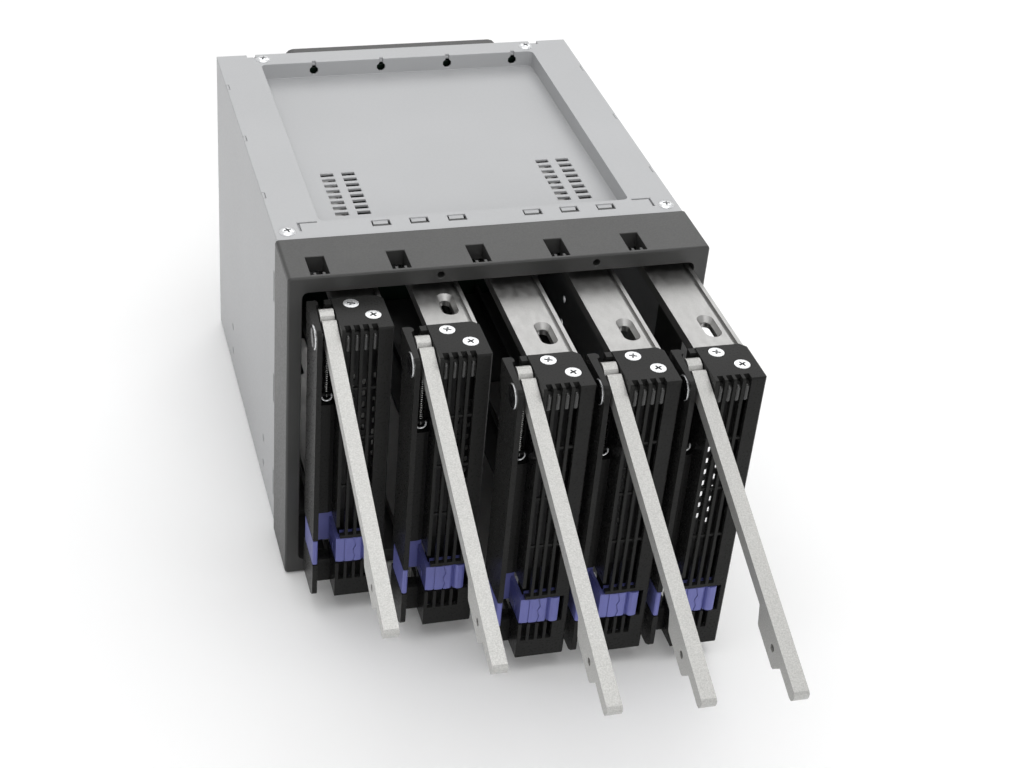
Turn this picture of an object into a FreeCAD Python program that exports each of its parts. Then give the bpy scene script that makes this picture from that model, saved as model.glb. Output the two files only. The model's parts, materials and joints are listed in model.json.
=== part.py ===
import FreeCAD, Part
import math
import os

V = FreeCAD.Vector

# The cage is a triple-height bay unit for five upright drives in trays that slide out to the front.
# All sizes are in millimetres. X runs to the right, Y to the rear and Z up.
# The origin is at the foot of the bezel's front face, in the middle.

# Trays and drives
tray_count = 5
tray_pitch = 27.75
tray_width = 25.4
pulled_out = [23.0, 43.3, 65.4, 67.4, 69.5]
drive_width = 101.6
drive_length = 147.0
drive_side_hole_height = 6.35
drive_edge_gap = 0.35
drive_overlap = 2.3
drive_hole_from_rear = [28.5, 130.1]
rail_thickness = 3.7
cap_thickness = 2.1

# Bezel
opening_gap = 0.9
bezel_depth = 25.3
bezel_side = 5.0
bezel_rail = 6.0
bezel_corner = 1.2
opening_corner = 2.0
opening_side_gap = 0.8
toe_slot_width = 6.4
toe_slot_length = 11.5
toe_slot_front = 1.5
toe_tooth_width = 1.1
toe_tooth_length = 2.2
toe_tooth_spread = 3.1
release_hole_radius = 1.2
release_hole_depth = 10.0

# Housing of folded sheet steel
sheet = 1.0
bend_radius = 1.2
housing_side_gap = 0.85
housing_step = 0.5
housing_behind_board = 5.0
top_rail_width = 16.65
recess_gap = 0.5
recess_front = 37.0
recess_before_board = 4.7
recess_corner = 2.0
fold_flange = 14.0
corner_slit_reach = 8.0
corner_slit_length = 6.0
corner_slit_width = 0.8
rear_notch_width = 3.5
rear_notch_depth = 3.0
top_tab_length = 4.0
top_tab_first = 57.6
top_tab_pitch = 43.6
fit_gap = 0.1
running_gap = 0.3
past = 1.0
root = 2.0
last_tab_from_rear = 20.0

# Snap tongues of the bezel and the windows that they catch in
tongue_groups = [-21.9, 32.9]
tongue_pitch = 13.6
tongue_width = 6.2
tongue_thickness = 1.8
tongue_length = 10.5
tongue_hook = 1.6
window_from_bezel = 5.6
window_length = 4.0
side_tongue_height = 12.0
side_tongue_drop = 2.4
side_tongue_share = 0.34

# Bay screw pattern of the sides
bay_screw_front = 55.0
bay_screw_spacing = 79.25
bay_screw_low = 9.9
bay_screw_high = 21.84
bay_screw_radius = 1.5

# Vents and keyholes of the cover
vent_rows = 8
vent_row_pitch = 4.15
vent_first_row = 52.0
vent_columns = [37.4, 45.4]
vent_length = 4.8
vent_width = 2.4
keyhole_radius = 1.7
keyhole_neck = 1.5
keyhole_drop = 3.6

# Tray front
front_depth = 12.3
front_wall = 1.8
front_side_wall = 1.4
cap_depth = 19.8
cap_corner = 2.0
cap_reach = 4.0
cap_lip = 3.0
front_edge = 0.5
slit_count = 4
slit_width = 1.9
slit_pitch = 3.0
border_width = 5.15
sill = 1.3
slit_tie = 0.9
tie_first = 48.8
tie_pitch = 20.2
low_slit_rise = 7.6
brow_height = 6.2
brow_setback = 0.7
brow_round = 1.8
notch_height = 2.4

# Lever channel and ear at the left of the tray front
ear_thickness = 1.8
ear_depth = 17.2
ear_top_depth = 20.3
ear_top_thickness = 3.6
ear_drop = 0.5
channel_width = 6.3
strip_setback = 8.0
strip_bow = 0.5
strip_thickness = 1.6
strip_above_latch = 1.0
strip_below_post = 3.0
ledge_below_pivot = 1.1
ledge_height = 7.0
ledge_depth = 3.6
channel_back = 13.2
channel_wall = 1.4
foot_setback = 9.0
foot_round = 1.4

# Lever
pivot_y = 5.5
pivot_below_top = 5.1
pin_radius = 1.5
pin_running_gap = 0.05
pin_head_radius = 4.2
pin_head_thickness = 0.5
lever_width = 4.8
lever_offset = 0.45
lever_tip_gap = 0.6
lever_top = 3.0
lever_thickness = 4.5
lever_open_angle = 22.7
blade_depth = 10.2
blade_length = 21.0
blade_from_tip = 10.9
toe_radius = 2.5
toe_reach = 8.45
toe_drop = 1.04
dimple_from_tip = 17.9
dimple_radius = 1.2
lug_reach = 3.1
lug_drop = 4.6
lug_width = 2.4
lug_thickness = 1.2
lug_hole_radius = 0.6

# Lever spring
spring_radius = 1.15
spring_wire = 0.25
spring_post_radius = 0.7
spring_post_below_pivot = 26.5
spring_post_from_back = 3.0

# Latch
latch_rise = 15.5
latch_height = 10.4
latch_travel = 0.9
latch_wall = 1.4
latch_gap = 0.4
latch_tab_right = 9.4
latch_tab_depth = 3.4
latch_back_y = 13.5
latch_back_rise = 15.6
latch_tooth_thickness = 0.6
latch_tooth_front = 6.0
latch_tooth_size = 3.0
latch_tooth_rise = 1.5

# Air screen behind the grille
screen_y = 9.4
screen_thickness = 0.8

# Rails of the tray
rail_left = -3.6
rail_right = 12.9
rail_lip_width = 1.3
rail_groove_width = 1.1
rail_groove_depth = 0.8
rail_lip_height = 0.5
rail_before_drive_rear = 6.5
rail_slot_width = 3.6
rail_slot_length = 9.6
rail_sink_width = 5.8
rail_sink_length = 13.4
rail_sink_depth = 1.7

# Screws
tray_screw_places = [(1.5, 16.1), (7.4, 8.3)]
tray_screw_head = 2.6
tray_screw_head_depth = 1.3
tray_screw_shank = 1.45
housing_screw_head = 2.9
housing_screw_head_height = 0.9
housing_screw_shank = 1.45
housing_screw_tip = 0.8
front_screw = (68.7, 31.0)
rear_screw_x = 55.0
rear_screw_before_rear = 5.0

# Guides
guide_before_board = 2.0
guide_setback = 3.0
guide_rib = 1.5
guide_rib_height = 4.2
guide_plate = 2.0

# Board and sockets
board_behind_drive = 3.5
board_thickness = 1.6
board_side_gap = 2.0
board_top_gap = 3.5
board_window_corner = 0.9
board_window_side = 3.0
board_window_gap = 2.0
board_window_foot = 19.0
board_window_head = 14.0
socket_height = 42.0
socket_width = 5.0
socket_depth = 5.0
socket_middle = 82.0
socket_from_drive_face = 3.5
port_x = -60.0
port_width = 14.5
port_height = 6.0
port_depth = 8.5
port_pitch = 14.0
port_first = 30.0
power_x = 61.5
power_first = 36.0
power_pitch = 36.0
power_height = 23.0
power_width = 7.0

# Fan
fan_size = 92.0
fan_depth = 25.4
fan_x = 5.0
fan_above_middle = 7.0
fan_corner = 3.5
fan_rim = 2.0
fan_hub = 16.0
fan_hub_plate = 3.0
fan_screw_inset = 4.75
fan_screw_hole = 2.2
fan_screw_radius = 2.0
fan_screw_head = 4.0
fan_strut = 4.0
fan_shaft = 2.0
fan_tube_setback = 10.0
blade_count = 7
blade_chord = 22.0
blade_lean = 38.0
blade_camber = 2.2
blade_thickness = 1.4
blade_tip_gap = 1.2
rotor_depth = 19.0
rotor_wall = 2.0
rotor_setback = 1.5
blade_root = 1.5
guard_thickness = 1.2
guard_inside_bore = 13.0
guard_ring_width = 2.2

# Numbers of flats that stand for a round
hidden_flat_count = 6
small_flat_count = 8
head_flat_count = 12
hub_flat_count = 18
bore_flat_count = 28

# Sizes that follow from the ones above
tray_height = drive_width + 2 * (rail_thickness + cap_thickness)
opening_half = tray_pitch * (tray_count - 1) / 2 + tray_width / 2 + opening_side_gap
bezel_half = opening_half + bezel_side
opening_bottom = bezel_rail
opening_top = opening_bottom + tray_height + 2 * opening_gap
bezel_height = opening_top + bezel_rail
middle_z = bezel_height / 2
tray_left = -tray_width / 2
tray_right = tray_width / 2
tray_bottom = middle_z - tray_height / 2
tray_top = middle_z + tray_height / 2
rail_under = middle_z + drive_width / 2
rail_top = tray_top - cap_thickness

drive_front = cap_depth - drive_overlap
drive_rear = drive_front + drive_length
drive_face_x = rail_right - drive_edge_gap
drive_hole_x = drive_face_x - drive_side_hole_height
rail_rear = drive_rear - rail_before_drive_rear
board_y = drive_rear + board_behind_drive
board_rear = board_y + board_thickness
guide_rear = board_y - guide_before_board
housing_rear = board_y + housing_behind_board
fan_front = housing_rear
fan_rear = fan_front + fan_depth
fan_z = middle_z + fan_above_middle
fan_bore = fan_size / 2 - fan_rim
fan_screw_spacing = fan_size - 2 * fan_screw_inset
guard_ring = fan_bore - guard_inside_bore

housing_half = bezel_half - housing_side_gap
inner_half = housing_half - sheet
cover_top = bezel_height - housing_step
cover_under = cover_top - sheet
board_top = cover_under - board_top_gap
recess_half = housing_half - top_rail_width
recess_under = rail_top + rail_lip_height + recess_gap
recess_floor = recess_under + sheet
recess_rear = board_y - recess_before_board
rear_screw = (rear_screw_x, housing_rear - rear_screw_before_rear)
screw_hole = housing_screw_shank + fit_gap
top_tab_count = 1 + int((housing_rear - last_tab_from_rear - top_tab_first) / top_tab_pitch)

ear_inner = tray_left + ear_thickness
channel_right = ear_inner + channel_width
cavity_left = channel_right + front_side_wall
cavity_right = tray_right - front_side_wall
lever_middle = (ear_inner + channel_right) / 2 + lever_offset
lever_left = lever_middle - lever_width / 2
lever_right = lever_middle + lever_width / 2
pivot_z = tray_top - pivot_below_top
lever_length = pivot_z - opening_bottom - lever_tip_gap
blade_end = lever_length - blade_from_tip
blade_start = blade_end - blade_length
ledge_top = pivot_z - ledge_below_pivot
foot_top = pivot_z - blade_end - 2 * running_gap
spring_post_y = channel_back - spring_post_from_back
spring_post_z = pivot_z - spring_post_below_pivot
latch_bottom = tray_bottom + latch_rise
latch_top = latch_bottom + latch_height
latch_back_top = latch_bottom + latch_back_rise
strip_bottom = latch_back_top + strip_above_latch
strip_top = spring_post_z - strip_below_post
pocket_low = latch_bottom - latch_gap
pocket_high = latch_top + latch_gap
pocket_right = latch_tab_right + latch_travel + latch_gap
brow_top = tray_top - notch_height
slit_bottom = pocket_high + sill
slit_top = brow_top - brow_height
tie_count = 1 + int((slit_top - 2 - tray_bottom - tie_first) / tie_pitch)


def box(x0, x1, y0, y1, z0, z1):
    return Part.makeBox(x1 - x0, y1 - y0, z1 - z0, V(x0, y0, z0))


def place(axis, a, b, along):
    """A point of an outline that is seen along the axis x, y or z."""
    if axis == "x":
        return V(along, a, b)
    if axis == "y":
        return V(a, along, b)
    return V(a, b, along)


def turned(arrow, angle):
    """An arrow in the plane of an outline, turned about its foot."""
    across = arrow.x * math.cos(angle) - arrow.y * math.sin(angle)
    up = arrow.x * math.sin(angle) + arrow.y * math.cos(angle)
    return V(across, up, 0)


def rounded(corners):
    """The points of an outline of corners (a, b) or (a, b, radius), each round made of a few flats."""
    points = []
    for i, (a, b, *radius) in enumerate(corners):
        corner = V(a, b, 0)
        if not radius or radius[0] == 0:
            points.append(corner)
            continue
        back = V(*corners[i - 1][:2], 0) - corner
        ahead = V(*corners[(i + 1) % len(corners)][:2], 0) - corner
        back.normalize()
        ahead.normalize()
        half = back.getAngle(ahead) / 2
        bisector = back + ahead
        bisector.normalize()
        centre = corner + bisector * (radius[0] / math.sin(half))
        spoke = corner + back * (radius[0] / math.tan(half)) - centre
        sweep = math.copysign(math.pi - 2 * half, -back.cross(ahead).z)
        flats = min(3, 1 + int(radius[0]))
        points += [centre + turned(spoke, sweep * step / flats) for step in range(flats + 1)]
    return [(p.x, p.y) for p in points]


def outline_at(axis, points, along):
    corners = [place(axis, a, b, along) for a, b in points]
    return Part.makePolygon(corners + corners[:1])


def prism(axis, corners, low, high):
    """A straight solid along the axis, from an outline with rounded corners."""
    face = Part.Face(outline_at(axis, rounded(corners), low))
    return face.extrude(place(axis, 0, 0, high - low))


def tapered(axis, low_points, low, high_points, high):
    """A solid with flat sides between two alike outlines of different size."""
    count = len(low_points)
    bottom = [place(axis, a, b, low) for a, b in low_points]
    top = [place(axis, a, b, high) for a, b in high_points]
    rims = [bottom, top]
    for i in range(count):
        following = (i + 1) % count
        rims.append([bottom[i], bottom[following], top[following], top[i]])
    shell = Part.makeShell([Part.Face(Part.makePolygon(rim + rim[:1])) for rim in rims])
    solid = Part.makeSolid(shell)
    if solid.Volume < 0:
        solid.reverse()
    return solid


def ring(a, b, radius, sides):
    """Corners of a regular outline that just fits inside a circle."""
    step = math.tau / sides
    return [(a + radius * math.cos(step * (i + 0.5)), b + radius * math.sin(step * (i + 0.5)))
            for i in range(sides)]


def ring_round(a, b, radius, sides):
    """Corners of a regular outline that just clears a circle."""
    return ring(a, b, radius / math.cos(math.pi / sides), sides)


def peg(axis, a, b, radius, low, high, sides=small_flat_count):
    return prism(axis, ring(a, b, radius, sides), low, high)


def hole(axis, a, b, radius, low, high, sides=small_flat_count):
    return prism(axis, ring_round(a, b, radius, sides), low, high)


def bore(axis, a, b, radius, low, high):
    """A true round, for holes that another product is screwed to."""
    return Part.makeCylinder(radius, high - low, place(axis, a, b, low), place(axis, 0, 0, 1))


def rectangle(a0, a1, b0, b1, radius=0.0):
    return [(a0, b0, radius), (a1, b0, radius), (a1, b1, radius), (a0, b1, radius)]


def oblong(a, b, length, width):
    """An outline with round ends, its length along b: a ring with its halves drawn apart."""
    reach = (length - width) / 2
    points = ring_round(a, b, width / 2, small_flat_count)
    return [(p, q + math.copysign(reach, q - b)) for p, q in points]


def joined(shapes):
    result = shapes[0]
    if len(shapes) > 1:
        result = result.fuse(shapes[1:])
    return result.removeSplitter()


def without(shape, cutters):
    return shape.cut(cutters)


def upside_down(shape):
    """The copy of a tray's piece on the other side of the tray's middle height."""
    return shape.mirror(V(0, 0, middle_z), V(0, 0, 1))


def tray_x(k):
    return tray_pitch * (k - (tray_count - 1) / 2)


def seated(shape, k):
    """A tray's piece, modelled with its front face at the origin, brought to its bay."""
    return shape.translated(V(tray_x(k), -pulled_out[k], 0))


def tongue_places():
    return [group + step * tongue_pitch for group in tongue_groups for step in (-1, 0, 1)]


def side_tongue_places():
    middle = middle_z - side_tongue_drop
    return [middle + step * side_tongue_share * bezel_height for step in (-1, 0, 1)]


def top_tab_places():
    return [top_tab_first + i * top_tab_pitch for i in range(top_tab_count)]


def span(a, b):
    return min(a, b), max(a, b)


# Bezel

def bezel_tongue(x):
    """A snap tongue under the cover, with its hook in the window."""
    rear = bezel_depth + tongue_length
    hook_front = bezel_depth + window_from_bezel + fit_gap
    hook_rear = hook_front + tongue_hook
    top = cover_under
    outline = [(bezel_depth - root, top - tongue_thickness), (rear, top - tongue_thickness),
               (rear, top - tongue_thickness / 2), (hook_rear, top), (hook_rear, top + sheet / 2),
               (hook_front, top + sheet * 0.8), (hook_front, top), (bezel_depth - root, top)]
    return prism("x", outline, x - tongue_width / 2, x + tongue_width / 2)


def bezel_side_tongue(z, side):
    rear = bezel_depth + tongue_length
    hook_front = bezel_depth + window_from_bezel + fit_gap
    hook_rear = hook_front + tongue_hook
    face = side * inner_half
    inside = face - side * tongue_thickness
    outline = [(inside, bezel_depth - root), (inside, rear), (face - side * tongue_thickness / 2, rear),
               (face, hook_rear), (face + side * sheet * 0.8, hook_front), (face, hook_front),
               (face, bezel_depth - root)]
    return prism("z", outline, z - side_tongue_height / 2, z + side_tongue_height / 2)


def toe_slot(k):
    """The opening in the bezel's top that a lever's toe enters, and the two teeth at its front."""
    x = tray_x(k) + lever_middle
    rear = toe_slot_front + toe_slot_length
    opening = box(x - toe_slot_width / 2, x + toe_slot_width / 2, toe_slot_front, rear,
                  opening_top - past, bezel_height + past)
    teeth = []
    for side in (-1, 1):
        tooth = x + side * toe_tooth_spread / 2
        teeth.append(box(tooth - toe_tooth_width / 2, tooth + toe_tooth_width / 2,
                         toe_slot_front, toe_slot_front + toe_tooth_length,
                         opening_top, bezel_height - front_edge))
    return without(opening, teeth)


def front_bezel():
    body = prism("y", rectangle(-bezel_half, bezel_half, 0, bezel_height, bezel_corner), 0, bezel_depth)
    front_edges = [e for e in body.Edges if abs(e.BoundBox.YMax) < 0.001]
    body = body.makeChamfer(front_edge, front_edges)
    opening = rectangle(-opening_half, opening_half, opening_bottom, opening_top, opening_corner)
    cutters = [prism("y", opening, -past, bezel_depth + past)]
    cutters += [toe_slot(k) for k in range(tray_count)]
    for x in tongue_groups:
        cutters.append(hole("y", x, opening_top + bezel_rail / 2, release_hole_radius,
                            -past, release_hole_depth))
    tongues = [bezel_tongue(x) for x in tongue_places()]
    for z in side_tongue_places():
        tongues += [bezel_side_tongue(z, side) for side in (-1, 1)]
    return joined([without(body, cutters)] + tongues)


# Housing

def housing_shell():
    """Floor and side walls in one folded sheet, with an inward flange along each top edge."""
    outline = [(-housing_half, 0, bend_radius), (housing_half, 0, bend_radius),
               (housing_half, cover_under), (-housing_half, cover_under)]
    outer = prism("y", outline, bezel_depth, housing_rear)
    inner = box(-inner_half, inner_half, bezel_depth - past, housing_rear + past, sheet, cover_under - sheet)
    gap_half = inner_half - fold_flange
    slot = box(-gap_half, gap_half, bezel_depth - past, housing_rear + past, sheet, cover_under + past)
    cutters = [inner, slot]
    window_front = bezel_depth + window_from_bezel
    half_height = side_tongue_height / 2 + 2 * fit_gap
    for z in side_tongue_places():
        cutters.append(box(-housing_half - past, housing_half + past,
                           window_front, window_front + window_length / 2,
                           z - half_height, z + half_height))
    for y in (bay_screw_front, bay_screw_front + bay_screw_spacing):
        for z in (bay_screw_low, bay_screw_high):
            cutters.append(bore("x", y, z, bay_screw_radius, -housing_half - past, housing_half + past))
    for side in (-1, 1):
        cutters.append(hole("z", side * front_screw[0], front_screw[1], screw_hole,
                            cover_under - 2, cover_under + past, hidden_flat_count))
    tabs = []
    for y in top_tab_places():
        for side in (-1, 1):
            low, high = span(side * housing_half, side * inner_half)
            tabs.append(box(low, high, y - top_tab_length / 2, y + top_tab_length / 2,
                            cover_under - past, cover_top))
    return joined([without(outer, cutters)] + tabs)


def corner_slit(side):
    """The bend relief at a front corner of the sunken panel, an L through the sheet."""
    outer_x = side * (recess_half + corner_slit_reach)
    inner_x = side * (recess_half + 1.0)
    front = recess_front - corner_slit_length
    rear = recess_front
    width = corner_slit_width
    outline = [(inner_x, rear), (outer_x, rear), (outer_x, front), (outer_x - side * width, front),
               (outer_x - side * width, rear - width), (inner_x, rear - width)]
    return prism("z", outline, cover_under - past, cover_top + past)


def keyhole(x):
    """A round with a neck up to the cover's edge, through the rear wall of the sunken panel."""
    z = cover_top - keyhole_drop
    low, high = recess_rear - past, recess_rear + sheet + 0.4
    neck = box(x - keyhole_neck / 2, x + keyhole_neck / 2, low, high, z, cover_top + past)
    return joined([hole("y", x, z, keyhole_radius, low, high), neck])


def cover_vents():
    """Two columns of short slits on each side of the sunken panel's front."""
    vents = []
    for row in range(vent_rows):
        y = vent_first_row + row * vent_row_pitch
        for column in vent_columns:
            for x in (-column, column):
                vents.append(box(x - vent_length / 2, x + vent_length / 2, y - vent_width / 2,
                                 y + vent_width / 2, recess_under - past, recess_floor + past))
    return vents


def top_cover():
    plate = box(-housing_half, housing_half, bezel_depth, housing_rear, cover_under, cover_top)
    pan = box(-recess_half - sheet, recess_half + sheet, recess_front - sheet, recess_rear + sheet,
              recess_under, cover_top)
    pan_inside = rectangle(-recess_half, recess_half, recess_front, recess_rear, recess_corner)
    cutters = [prism("z", pan_inside, recess_floor, cover_top + past)]
    below, above = cover_under - past, cover_top + past
    window_front = bezel_depth + window_from_bezel
    window_half = tongue_width / 2 + 2 * fit_gap
    for x in tongue_places():
        cutters.append(box(x - window_half, x + window_half, window_front, window_front + window_length,
                           below, above))
    cutters += cover_vents()
    cutters += [keyhole(tray_x(k) + lever_middle) for k in range(1, tray_count)]
    for side in (-1, 1):
        cutters.append(corner_slit(side))
        for x, y in (front_screw, rear_screw):
            cutters.append(hole("z", side * x, y, screw_hole, below, above, hidden_flat_count))
        low, high = span(side * (recess_half + sheet), side * (recess_half + sheet + rear_notch_width))
        cutters.append(box(low, high, housing_rear - rear_notch_depth, housing_rear + past, below, above))
        low, high = span(side * (inner_half - fit_gap), side * (housing_half + past))
        for y in top_tab_places():
            cutters.append(box(low, high, y - top_tab_length / 2 - fit_gap, y + top_tab_length / 2 + fit_gap,
                               below, above))
    return without(joined([plate, pan]), cutters)


def port_window(x, z, width, height):
    """The hole in the back that a port stands through."""
    clear = 1.0
    return box(x - width / 2 - clear, x + width / 2 + clear, housing_rear - 3, housing_rear + past,
               z - height / 2 - clear, z + height / 2 + clear)


def rear_panel():
    """The back, with a flange under the cover and four feet that carry the board."""
    plate = box(-inner_half, inner_half, housing_rear - sheet, housing_rear, sheet, cover_under - sheet)
    flange_half = inner_half - fold_flange - fit_gap
    flange = box(-flange_half, flange_half, recess_rear + sheet + fit_gap, housing_rear,
                 cover_under - sheet, cover_under)
    low, high = housing_rear - 3, housing_rear + past
    cutters = [hole("y", fan_x, fan_z, fan_bore, low, high, bore_flat_count)]
    cutters += [hole("y", x, z, fan_screw_hole, low, high, hidden_flat_count) for x, z in fan_corners()]
    cutters += [port_window(port_x, z, port_width, port_height) for z in port_heights()]
    cutters += [port_window(power_x, z, power_width, power_height) for z in power_heights()]
    for side in (-1, 1):
        cutters.append(hole("z", side * rear_screw[0], rear_screw[1], screw_hole,
                            cover_under - 3, cover_under + past, hidden_flat_count))
    feet = []
    for x in (-inner_half + 6, inner_half - 6):
        for z in (sheet + 7, board_top - 6):
            feet.append(peg("y", x, z, 3.0, board_rear, housing_rear - sheet, hidden_flat_count))
    return joined([without(joined([plate, flange]), cutters)] + feet)


# Guides

def guide_ribs(low, high, front, rear):
    """A pair of ribs in every gap between two rails, and one rib at each side wall."""
    ribs = []
    for k in range(tray_count + 1):
        left = tray_x(k - 1) + rail_right + running_gap
        right = tray_x(k) + rail_left - running_gap
        if k > 0:
            ribs.append(box(left, left + guide_rib, front, rear, low, high))
        if k < tray_count:
            ribs.append(box(right - guide_rib, right, front, rear, low, high))
    return ribs


def upper_guide():
    """A comb that hangs from the sunken panel and keeps the upper rails apart."""
    low = recess_under - guide_rib_height
    front = bezel_depth + guide_setback
    ribs = guide_ribs(low, recess_under, front, guide_rear)
    front_bar = box(-inner_half, inner_half, front, recess_front - sheet - fit_gap,
                    rail_top + rail_lip_height + running_gap, cover_under - tongue_thickness - 0.5)
    rear_bar = box(-inner_half, inner_half, rail_rear + running_gap, guide_rear, low, recess_under)
    return joined([front_bar, rear_bar] + ribs)


def lower_guide():
    """A moulded floor that the lower rails slide on, with the same ribs and open underneath."""
    top = tray_bottom + cap_thickness - rail_lip_height - running_gap
    front = bezel_depth + fit_gap
    plate = box(-inner_half, inner_half, front, guide_rear, top - guide_plate, top)
    ribs = guide_ribs(top, top + guide_rib_height, front + guide_setback, guide_rear)
    walls = []
    for x in (-inner_half, inner_half - guide_plate):
        walls.append(box(x, x + guide_plate, front, guide_rear, sheet, top))
    for y in (front, (front + guide_rear) / 2, guide_rear - guide_plate):
        walls.append(box(-inner_half, inner_half, y, y + guide_plate, sheet, top))
    return joined([plate] + ribs + walls)


# Board and sockets

def port_heights():
    return [port_first + i * port_pitch for i in range(tray_count)]


def power_heights():
    return [power_first, power_first + power_pitch]


def socket_x(k):
    return tray_x(k) + drive_face_x - socket_from_drive_face


def backplane_board():
    """An upright board with a tall air window beside every socket."""
    half = inner_half - board_side_gap
    board = box(-half, half, board_y, board_rear, sheet, board_top)
    cutters = []
    for k in range(tray_count):
        left = tray_x(k) - tray_pitch / 2 + board_window_side
        right = socket_x(k) - socket_width / 2 - board_window_gap
        window = rectangle(left, right, sheet + board_window_foot, board_top - board_window_head,
                           board_window_corner)
        cutters.append(prism("y", window, board_y - past, board_rear + past))
    return without(board, cutters)


def drive_connectors():
    """One upright socket for each drive, with the slot that takes the drive's edge."""
    sockets = []
    for k in range(tray_count):
        x = socket_x(k)
        low = socket_middle - socket_height / 2
        high = socket_middle + socket_height / 2
        body = box(x - socket_width / 2, x + socket_width / 2, board_y - socket_depth, board_y, low, high)
        slot = box(x - 0.9, x + 0.9, board_y - socket_depth - past, board_y - 1.5, low + 2, high - 2)
        sockets.append(body.cut(slot))
    return Part.makeCompound(sockets)


def port(x, z, width, height, mouth_width, mouth_height):
    body = box(x - width / 2, x + width / 2, board_rear, board_rear + port_depth,
               z - height / 2, z + height / 2)
    mouth = box(x - mouth_width / 2, x + mouth_width / 2, board_rear + 2, board_rear + port_depth + past,
                z - mouth_height / 2, z + mouth_height / 2)
    return body.cut(mouth)


def rear_ports():
    """Data and power sockets that stand through the back."""
    wall = 1.5
    mouth = 2.4
    ports = [port(port_x, z, port_width, port_height, port_width - 2 * wall, mouth) for z in port_heights()]
    ports += [port(power_x, z, power_width, power_height, mouth, power_height - 2 * wall)
              for z in power_heights()]
    return Part.makeCompound(ports)


# Fan

def fan_corners():
    reach = fan_screw_spacing / 2
    return [(fan_x + dx, fan_z + dz) for dx in (-reach, reach) for dz in (-reach, reach)]


def around_fan(shape, turn):
    """A copy turned about the fan's axis."""
    copy = shape.copy()
    copy.rotate(V(fan_x, 0, fan_z), V(0, 1, 0), turn)
    return copy


def fan_frame():
    half = fan_size / 2
    body = prism("y", rectangle(fan_x - half, fan_x + half, fan_z - half, fan_z + half, fan_corner),
                 fan_front, fan_rear)
    low, high = fan_front - past, fan_rear + past
    cutters = [hole("y", fan_x, fan_z, fan_bore, low, high, bore_flat_count)]
    cutters += [hole("y", x, z, fan_screw_hole, low, high, hidden_flat_count) for x, z in fan_corners()]
    plate_front = fan_rear - fan_hub_plate
    hub = peg("y", fan_x, fan_z, fan_hub, plate_front, fan_rear, hub_flat_count)
    strut = box(fan_x + fan_hub - past, fan_x + fan_bore + 1.5, plate_front, fan_rear,
                fan_z - fan_strut / 2, fan_z + fan_strut / 2)
    struts = [around_fan(strut, 45 + 90 * turn) for turn in range(4)]
    tube = peg("y", fan_x, fan_z, fan_shaft + 2, fan_front + fan_tube_setback, fan_rear)
    shaft_hole = hole("y", fan_x, fan_z, fan_shaft + pin_running_gap, fan_front, fan_rear - past)
    return joined([without(body, cutters), hub, tube] + struts).cut(shaft_hole)


def fan_blade():
    """A leaning, cambered blade, drawn in section and run out from the hub to near the bore."""
    half = blade_chord / 2
    thick = blade_thickness / 2
    section = [(-half, 0), (0, blade_camber - thick), (half, 0), (half, blade_thickness),
               (0, blade_camber + thick), (-half, blade_thickness)]
    lean = math.radians(90 - blade_lean)
    corners = []
    for a, b in section:
        spot = turned(V(a, b, 0), lean)
        corners.append((spot.x, spot.y + rotor_depth / 2))
    tip = math.sqrt((fan_bore - blade_tip_gap) ** 2 - (half + blade_thickness) ** 2)
    return prism("z", corners, fan_hub - blade_root, tip)


def fan_rotor():
    """A cupped hub with its blades and the shaft that runs in the frame's tube."""
    cup = peg("y", 0, 0, fan_hub, 0, rotor_depth, hub_flat_count)
    hollow = peg("y", 0, 0, fan_hub - rotor_wall, rotor_wall, rotor_depth + past, hub_flat_count)
    shaft = peg("y", 0, 0, fan_shaft, rotor_wall - past, rotor_depth + 2.5)
    blades = []
    for i in range(blade_count):
        blade = fan_blade()
        blade.rotate(V(0, 0, 0), V(0, 1, 0), 360 / blade_count * i)
        blades.append(blade)
    rotor = joined([cup] + blades).cut(hollow)
    return joined([rotor, shaft]).translated(V(fan_x, fan_front + rotor_setback, fan_z))


def fan_guard():
    """Stamped guard: a flat ring on four legs that are screwed to the frame's corners."""
    face = fan_rear + guard_thickness
    half = guard_ring_width / 2
    outer = peg("y", fan_x, fan_z, guard_ring + half, fan_rear, face, hub_flat_count)
    inner = peg("y", fan_x, fan_z, guard_ring - half, fan_rear - past, face + past, hub_flat_count)
    reach = math.hypot(fan_screw_spacing / 2, fan_screw_spacing / 2) + fan_screw_head
    leg = box(fan_x + guard_ring, fan_x + reach, fan_rear, face,
              fan_z - fan_screw_head, fan_z + fan_screw_head)
    legs = [around_fan(leg, 45 + 90 * turn) for turn in range(4)]
    holes = [hole("y", x, z, fan_screw_hole, fan_rear - past, face + past, hidden_flat_count)
             for x, z in fan_corners()]
    return without(joined([outer.cut(inner)] + legs), holes)


def fan_screws():
    screws = []
    face = fan_rear + guard_thickness
    for x, z in fan_corners():
        head = peg("y", x, z, fan_screw_head, face, face + 2)
        shank = peg("y", x, z, fan_screw_radius, housing_rear - sheet, face, hidden_flat_count)
        screws.append(joined([head, shank]))
    return Part.makeCompound(screws)


def housing_screws():
    """Low pan-headed screws that hold the cover."""
    screws = []
    top = cover_top + housing_screw_head_height
    for side in (-1, 1):
        for x, y in (front_screw, rear_screw):
            wide = ring(side * x, y, housing_screw_head, small_flat_count)
            narrow = ring(side * x, y, housing_screw_head * 0.75, small_flat_count)
            head = tapered("z", wide, cover_top, narrow, top)
            shank = peg("z", side * x, y, housing_screw_shank, cover_under - sheet - housing_screw_tip,
                        cover_top, hidden_flat_count)
            screws.append(joined([head, shank]))
    return Part.makeCompound(screws)


# Tray front

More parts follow.
